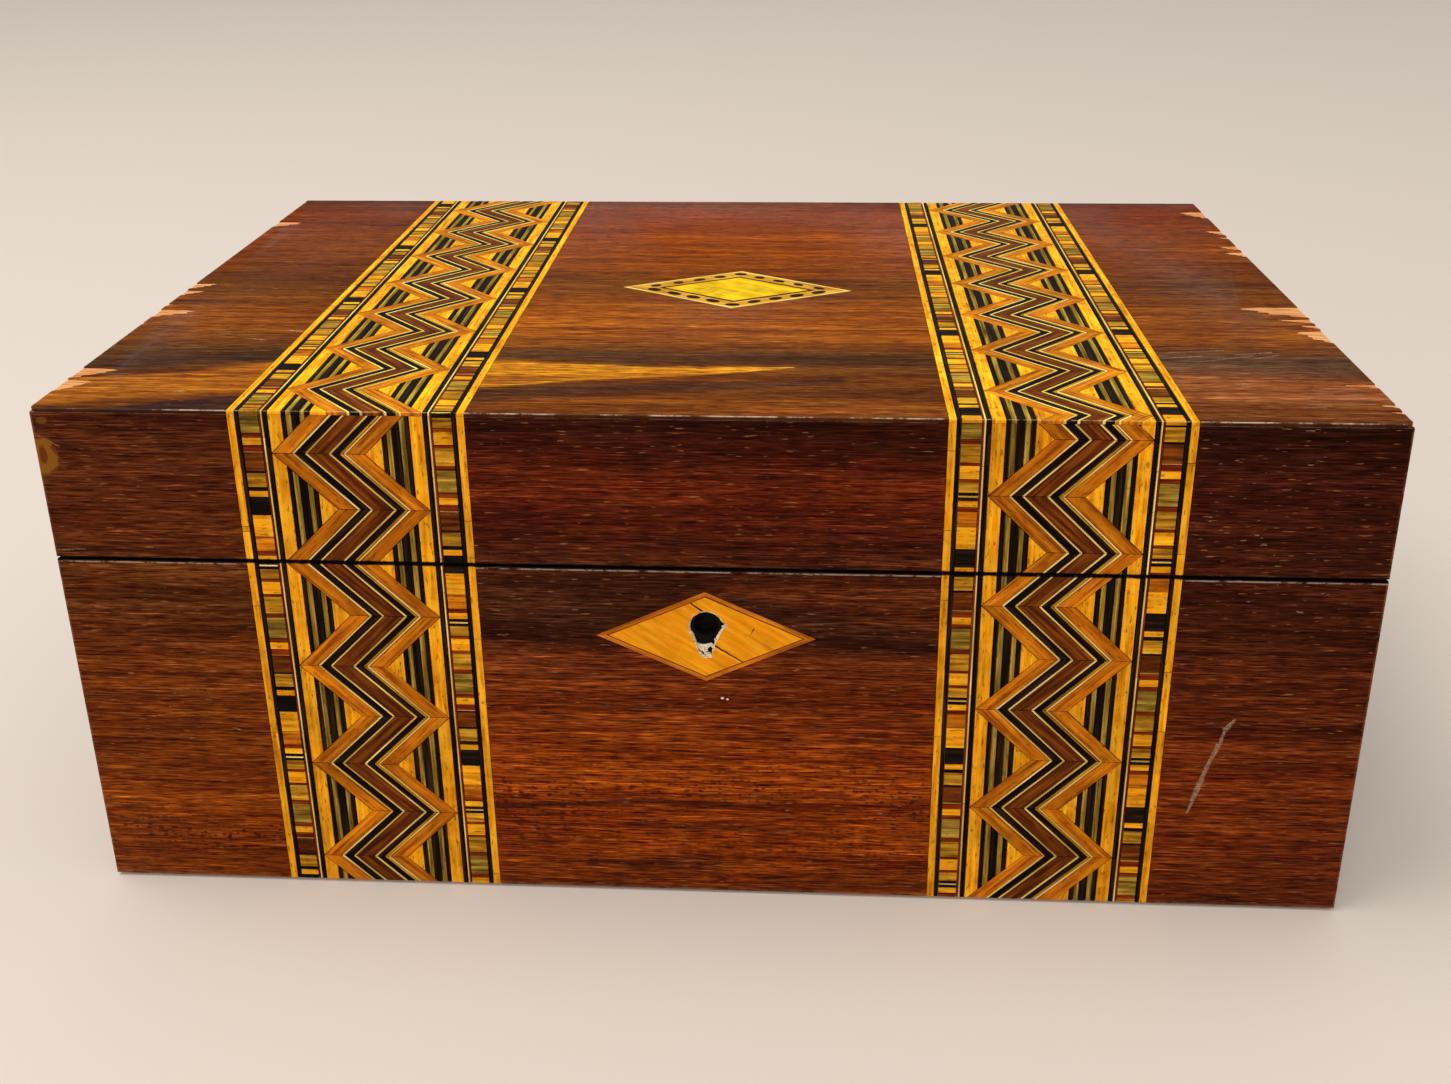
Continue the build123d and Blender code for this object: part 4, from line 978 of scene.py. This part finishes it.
up, down, inward = (0, 0, 1), (0, 0, -1), (0, 1, 0)
leaf_places = [(side * 90 + step, 86.9) for side in (-1, 1) for step in (-12.6667, 12.6667)]
for name, body, stands_for, length, places in (
        ("base_leaf_screws", "base", "base_hinge_screws", 7, [((*place, rim), up) for place in leaf_places]),
        ("lid_leaf_screws", "lid", "lid_hinge_screws", 7, [((*place, lid_floor), down) for place in leaf_places]),
        ("lock_plate_screws", "base", "lock_screws", 6,
         [((x, y, z), facing) for y, z, facing in ((-88.1, rim, up), (-84.1, 62.5, inward)) for x in (-25, 25)]),
        ("link_screws", "lid", "link_plate_screws", 7, [((x, -88.1, lid_floor), down) for x in (-25, 25)])):
    bm = bmesh.new()
    for place, facing in places:
        screw(bm, place, facing, length)
    piece_from(bm, name, brass, body, [stands_for])


# ---------------------------------------------------------------- pads and baize
def slab_of_cloth(x, y, cells, back_z, face_z):
    """A closed slab of fine squares, and the points of its face. Its back lies flat."""
    bm = bmesh.new()
    shape = moved((0, 0, back_z * mm)) @ widened((2 * x * mm, 2 * y * mm, 1, 1))
    ops.create_grid(bm, x_segments=cells[0], y_segments=cells[1], size=0.5, matrix=shape)
    face = raise_up(bm, (face_z - back_z) * mm)
    bm.verts.index_update()
    face_ids = {v.index for v in face}
    return bm, face, face_ids, [v.index for v in bm.verts if v.index not in face_ids]


def blown_up(piece, held, frames=18, pressure=4, slack=0.04):
    """Blows cloth up between the points where it is held, and gives each point with its new place."""
    piece.vertex_groups.new(name="held").add(held, 1, "REPLACE")
    blow = piece.modifiers.new("blow", "CLOTH")
    for key, value in dict(
            quality=6, mass=0.25, tension_stiffness=12, compression_stiffness=12, shear_stiffness=6,
            bending_stiffness=0.4, use_pressure=True, uniform_pressure_force=pressure, vertex_group_mass="held",
            shrink_min=-slack).items():
        setattr(blow.settings, key, value)
    blow.settings.effector_weights.gravity = 0
    blow.collision_settings.use_collision = False
    for frame_number in range(1, frames + 1):
        bpy.context.scene.frame_set(frame_number)
    shaped = bpy.data.meshes.new_from_object(piece.evaluated_get(bpy.context.evaluated_depsgraph_get()))
    points = [v.co.copy() for v in shaped.vertices]
    piece.modifiers.remove(blow)
    bpy.data.meshes.remove(shaped)
    bpy.context.scene.frame_set(1)
    return zip(piece.data.vertices, points)


def finish_pad(piece):
    smooth = piece.modifiers.new("smooth", "SUBSURF")
    smooth.levels = smooth.render_levels = 1


# The quilted pad under the lid: seams cross in diamonds, with a covered button at each crossing
pad_x, pad_y = 137.6, 82.6
cells, diamond, half_diamond = (96, 64), 16, 8
step_x, step_y = 2 * pad_x / cells[0], 2 * pad_y / cells[1]
quilt_back, seam_z, crown_z, deepest_z = 119.1, 117.3, 114.4, 113.2
bm, face, face_ids, held = slab_of_cloth(pad_x, pad_y, cells, quilt_back, seam_z)
for v in face:
    i, j = round((v.co.x / mm + pad_x) / step_x), round((v.co.y / mm + pad_y) / step_y)
    on_border = i in (0, cells[0]) or j in (0, cells[1])
    if on_border or (i + j) % diamond == 0 or (i - j) % diamond == 0:
        held.append(v.index)
    if not on_border:
        puff = abs(math.sin(math.pi * (i + j) / diamond) * math.sin(math.pi * (i - j) / diamond)) ** 0.45
        v.co.z = (seam_z + (crown_z - seam_z) * puff) * mm
quilt = piece_from(bm, "lid_quilt", silk, "lid", ["lid_silk_pad"], 180)
for v, point in blown_up(quilt, held):
    if v.index in face_ids:
        drift = point - v.co
        drift.x, drift.y = (max(-1.2 * mm, min(1.2 * mm, d)) for d in (drift.x, drift.y))
        v.co += drift
        v.co.z = max(deepest_z * mm, min(seam_z * mm + 0.3 * mm, v.co.z))
finish_pad(quilt)

bm = bmesh.new()
for i in range(half_diamond, cells[0], half_diamond):
    for j in range(half_diamond, cells[1], half_diamond):
        if (i + j) % diamond == 0:
            place = ((i * step_x - pad_x) * mm, (j * step_y - pad_y) * mm, (seam_z - 0.2) * mm)
            shape = moved(place) @ widened((3.1 * mm, 3.1 * mm, 1.5 * mm, 1))
            ops.create_uvsphere(bm, u_segments=14, v_segments=8, radius=1, matrix=shape)
piece_from(bm, "lid_quilt_buttons", silk, "lid", (), 180)

# The velvet floor pad: soft edges, sides drawn in between the corners, hollows where things have lain
floor_back, floor_edge, floor_crown = 6.8, 8.3, 9.75
bm, face, face_ids, held = slab_of_cloth(pad_x, pad_y, (92, 56), floor_back, floor_edge)
for v in face:
    u, w = v.co.x / mm / pad_x, v.co.y / mm / pad_y
    if abs(u) > 0.999 or abs(w) > 0.999:
        held.append(v.index)
        v.co.z = (floor_back + 0.5) * mm
    else:
        rise = (1 - abs(u) ** 24) * (1 - abs(w) ** 18)
        v.co.z = (floor_back + 0.7 + (floor_edge - floor_back) * rise ** 0.6) * mm
for v in bm.verts:
    u, w = v.co.x / mm / pad_x, v.co.y / mm / pad_y
    v.co.x -= math.copysign(0.5 * mm * (1 - w * w) * abs(u) ** 8, u)
    v.co.y -= math.copysign(0.5 * mm * (1 - u * u) * abs(w) ** 8, w)
floor_pad = piece_from(bm, "floor_pad", velvet, "base", ["base_floor_pad"], 180)
for v, point in blown_up(floor_pad, held, 14, 2, 0.01):
    if v.index in face_ids:
        v.co.z = max((floor_back + 0.4) * mm, min(floor_crown * mm, point.z))
for v in floor_pad.data.vertices:
    if v.index in face_ids:
        for x, y, wide, deep in ((-62, 18, 34, 0.5), (48, -22, 42, 0.45), (96, 40, 24, 0.35)):
            away = math.hypot(v.co.x / mm - x, (v.co.y / mm - y) * 1.5) / wide
            v.co.z -= deep * mm * math.exp(-away * away * 2) * min(1, (v.co.z / mm - floor_back - 0.5))
finish_pad(floor_pad)

# Baize glued under the base
baize_x, baize_y = 147.1, 92.1
bm = bmesh.new()
shape = moved((0, 0, underside * mm)) @ widened((2 * baize_x * mm, 2 * baize_y * mm, 1, 1))
ops.create_grid(bm, x_segments=147, y_segments=92, size=0.5, matrix=shape)
raised = ops.extrude_face_region(bm, geom=bm.faces[:], use_keep_orig=True)["geom"]
for v in (g for g in raised if isinstance(g, kinds.BMVert)):
    on_edge = abs(v.co.x) > baize_x * mm - 1e-6 or abs(v.co.y) > baize_y * mm - 1e-6
    v.co.z -= (underside - chance.uniform(0.12, 0.3) * (2 if on_edge else 0.5)) * mm
for v in bm.verts:
    if abs(v.co.x) > baize_x * mm - 1e-6:
        v.co.x *= 1 - (0.0012 + 0.0009 * math.sin(v.co.y * 310) + 0.0005 * math.sin(v.co.y * 1270))
    if abs(v.co.y) > baize_y * mm - 1e-6:
        v.co.y *= 1 - (0.0019 + 0.0013 * math.sin(v.co.x * 260) + 0.0008 * math.sin(v.co.x * 1130))
felt = piece_from(bm, "base_baize", baize, "base", ["underside_baize"], 60)

# ---------------------------------------------------------------- floor, lamps and camera
scene = bpy.context.scene


def place_in_scene(name, data):
    made = bpy.data.objects.new(name, data)
    scene.collection.objects.link(made)
    return made


floor = Finish("floor", roughness=0.9)
floor.set("Base Color", shade(226, 214, 202))
bm = bmesh.new()
ops.create_grid(bm, x_segments=1, y_segments=1, size=80)
mesh = bpy.data.meshes.new("floor")
bm.to_mesh(mesh)
bm.free()
mesh.materials.append(floor.material)
place_in_scene("floor", mesh)

scene.view_settings.view_transform = "Standard"
world = bpy.data.worlds.new("studio")
scene.world = world
world.use_nodes = True
sky, nodes, links = world.node_tree.nodes["Background"], world.node_tree.nodes, world.node_tree.links
sky.inputs["Color"].default_value = (1, 0.985, 0.965, 1)
upward, lift = nodes.new("ShaderNodeSeparateXYZ"), nodes.new("ShaderNodeValToRGB")
links.new(nodes.new("ShaderNodeTexCoord").outputs["Generated"], upward.inputs[0])
lift.color_ramp.elements[1].position = 0.85
for place in (0.05, 0.14, 0.4):
    lift.color_ramp.elements.new(place)
for element, level in zip(lift.color_ramp.elements, (0.62, 0.58, 0.16, 0.16, 1)):
    element.color = (level, level, level, 1)
links.new(upward.outputs[2], lift.inputs[0])
links.new(lift.outputs[0], sky.inputs["Strength"])

for name, place, target, power, colour in (
        ("window", (-0.9, -0.2, 1.9), (0, 0, 0.08), 17, (1, 0.98, 0.95)),
        ("fill", (-0.4, -1.9, 1), (0, 0, 0.06), 14.5, (1, 0.97, 0.93))):
    light = bpy.data.lights.new(name, "AREA")
    light.shape, light.size, light.energy, light.color = "DISK", 1.4, power, colour
    lamp = place_in_scene(name, light)
    lamp.location = place
    lamp.rotation_euler = (Vector(target) - Vector(place)).to_track_quat("-Z", "Y").to_euler()

lens = bpy.data.cameras.new("camera")
camera = scene.camera = place_in_scene("camera", lens)
wide, yaw, pitch_down, roll = 1451, math.radians(3.34), math.radians(20.5), math.radians(-0.594)
lens.sensor_width = 36
lens.lens = 36 * 1448 / wide
lens.shift_x, lens.shift_y = -2.3 / wide, -174.1 / wide
camera.rotation_mode = "QUATERNION"
turned = Matrix.Identity(3)
for angle, axis in ((yaw, "Z"), (math.pi / 2 - pitch_down, "X"), (roll, "Z")):
    turned = turned @ Matrix.Rotation(angle, 3, axis)
camera.rotation_quaternion = turned.to_quaternion()
camera.location = (0.0221, -0.3833, 0.2461)
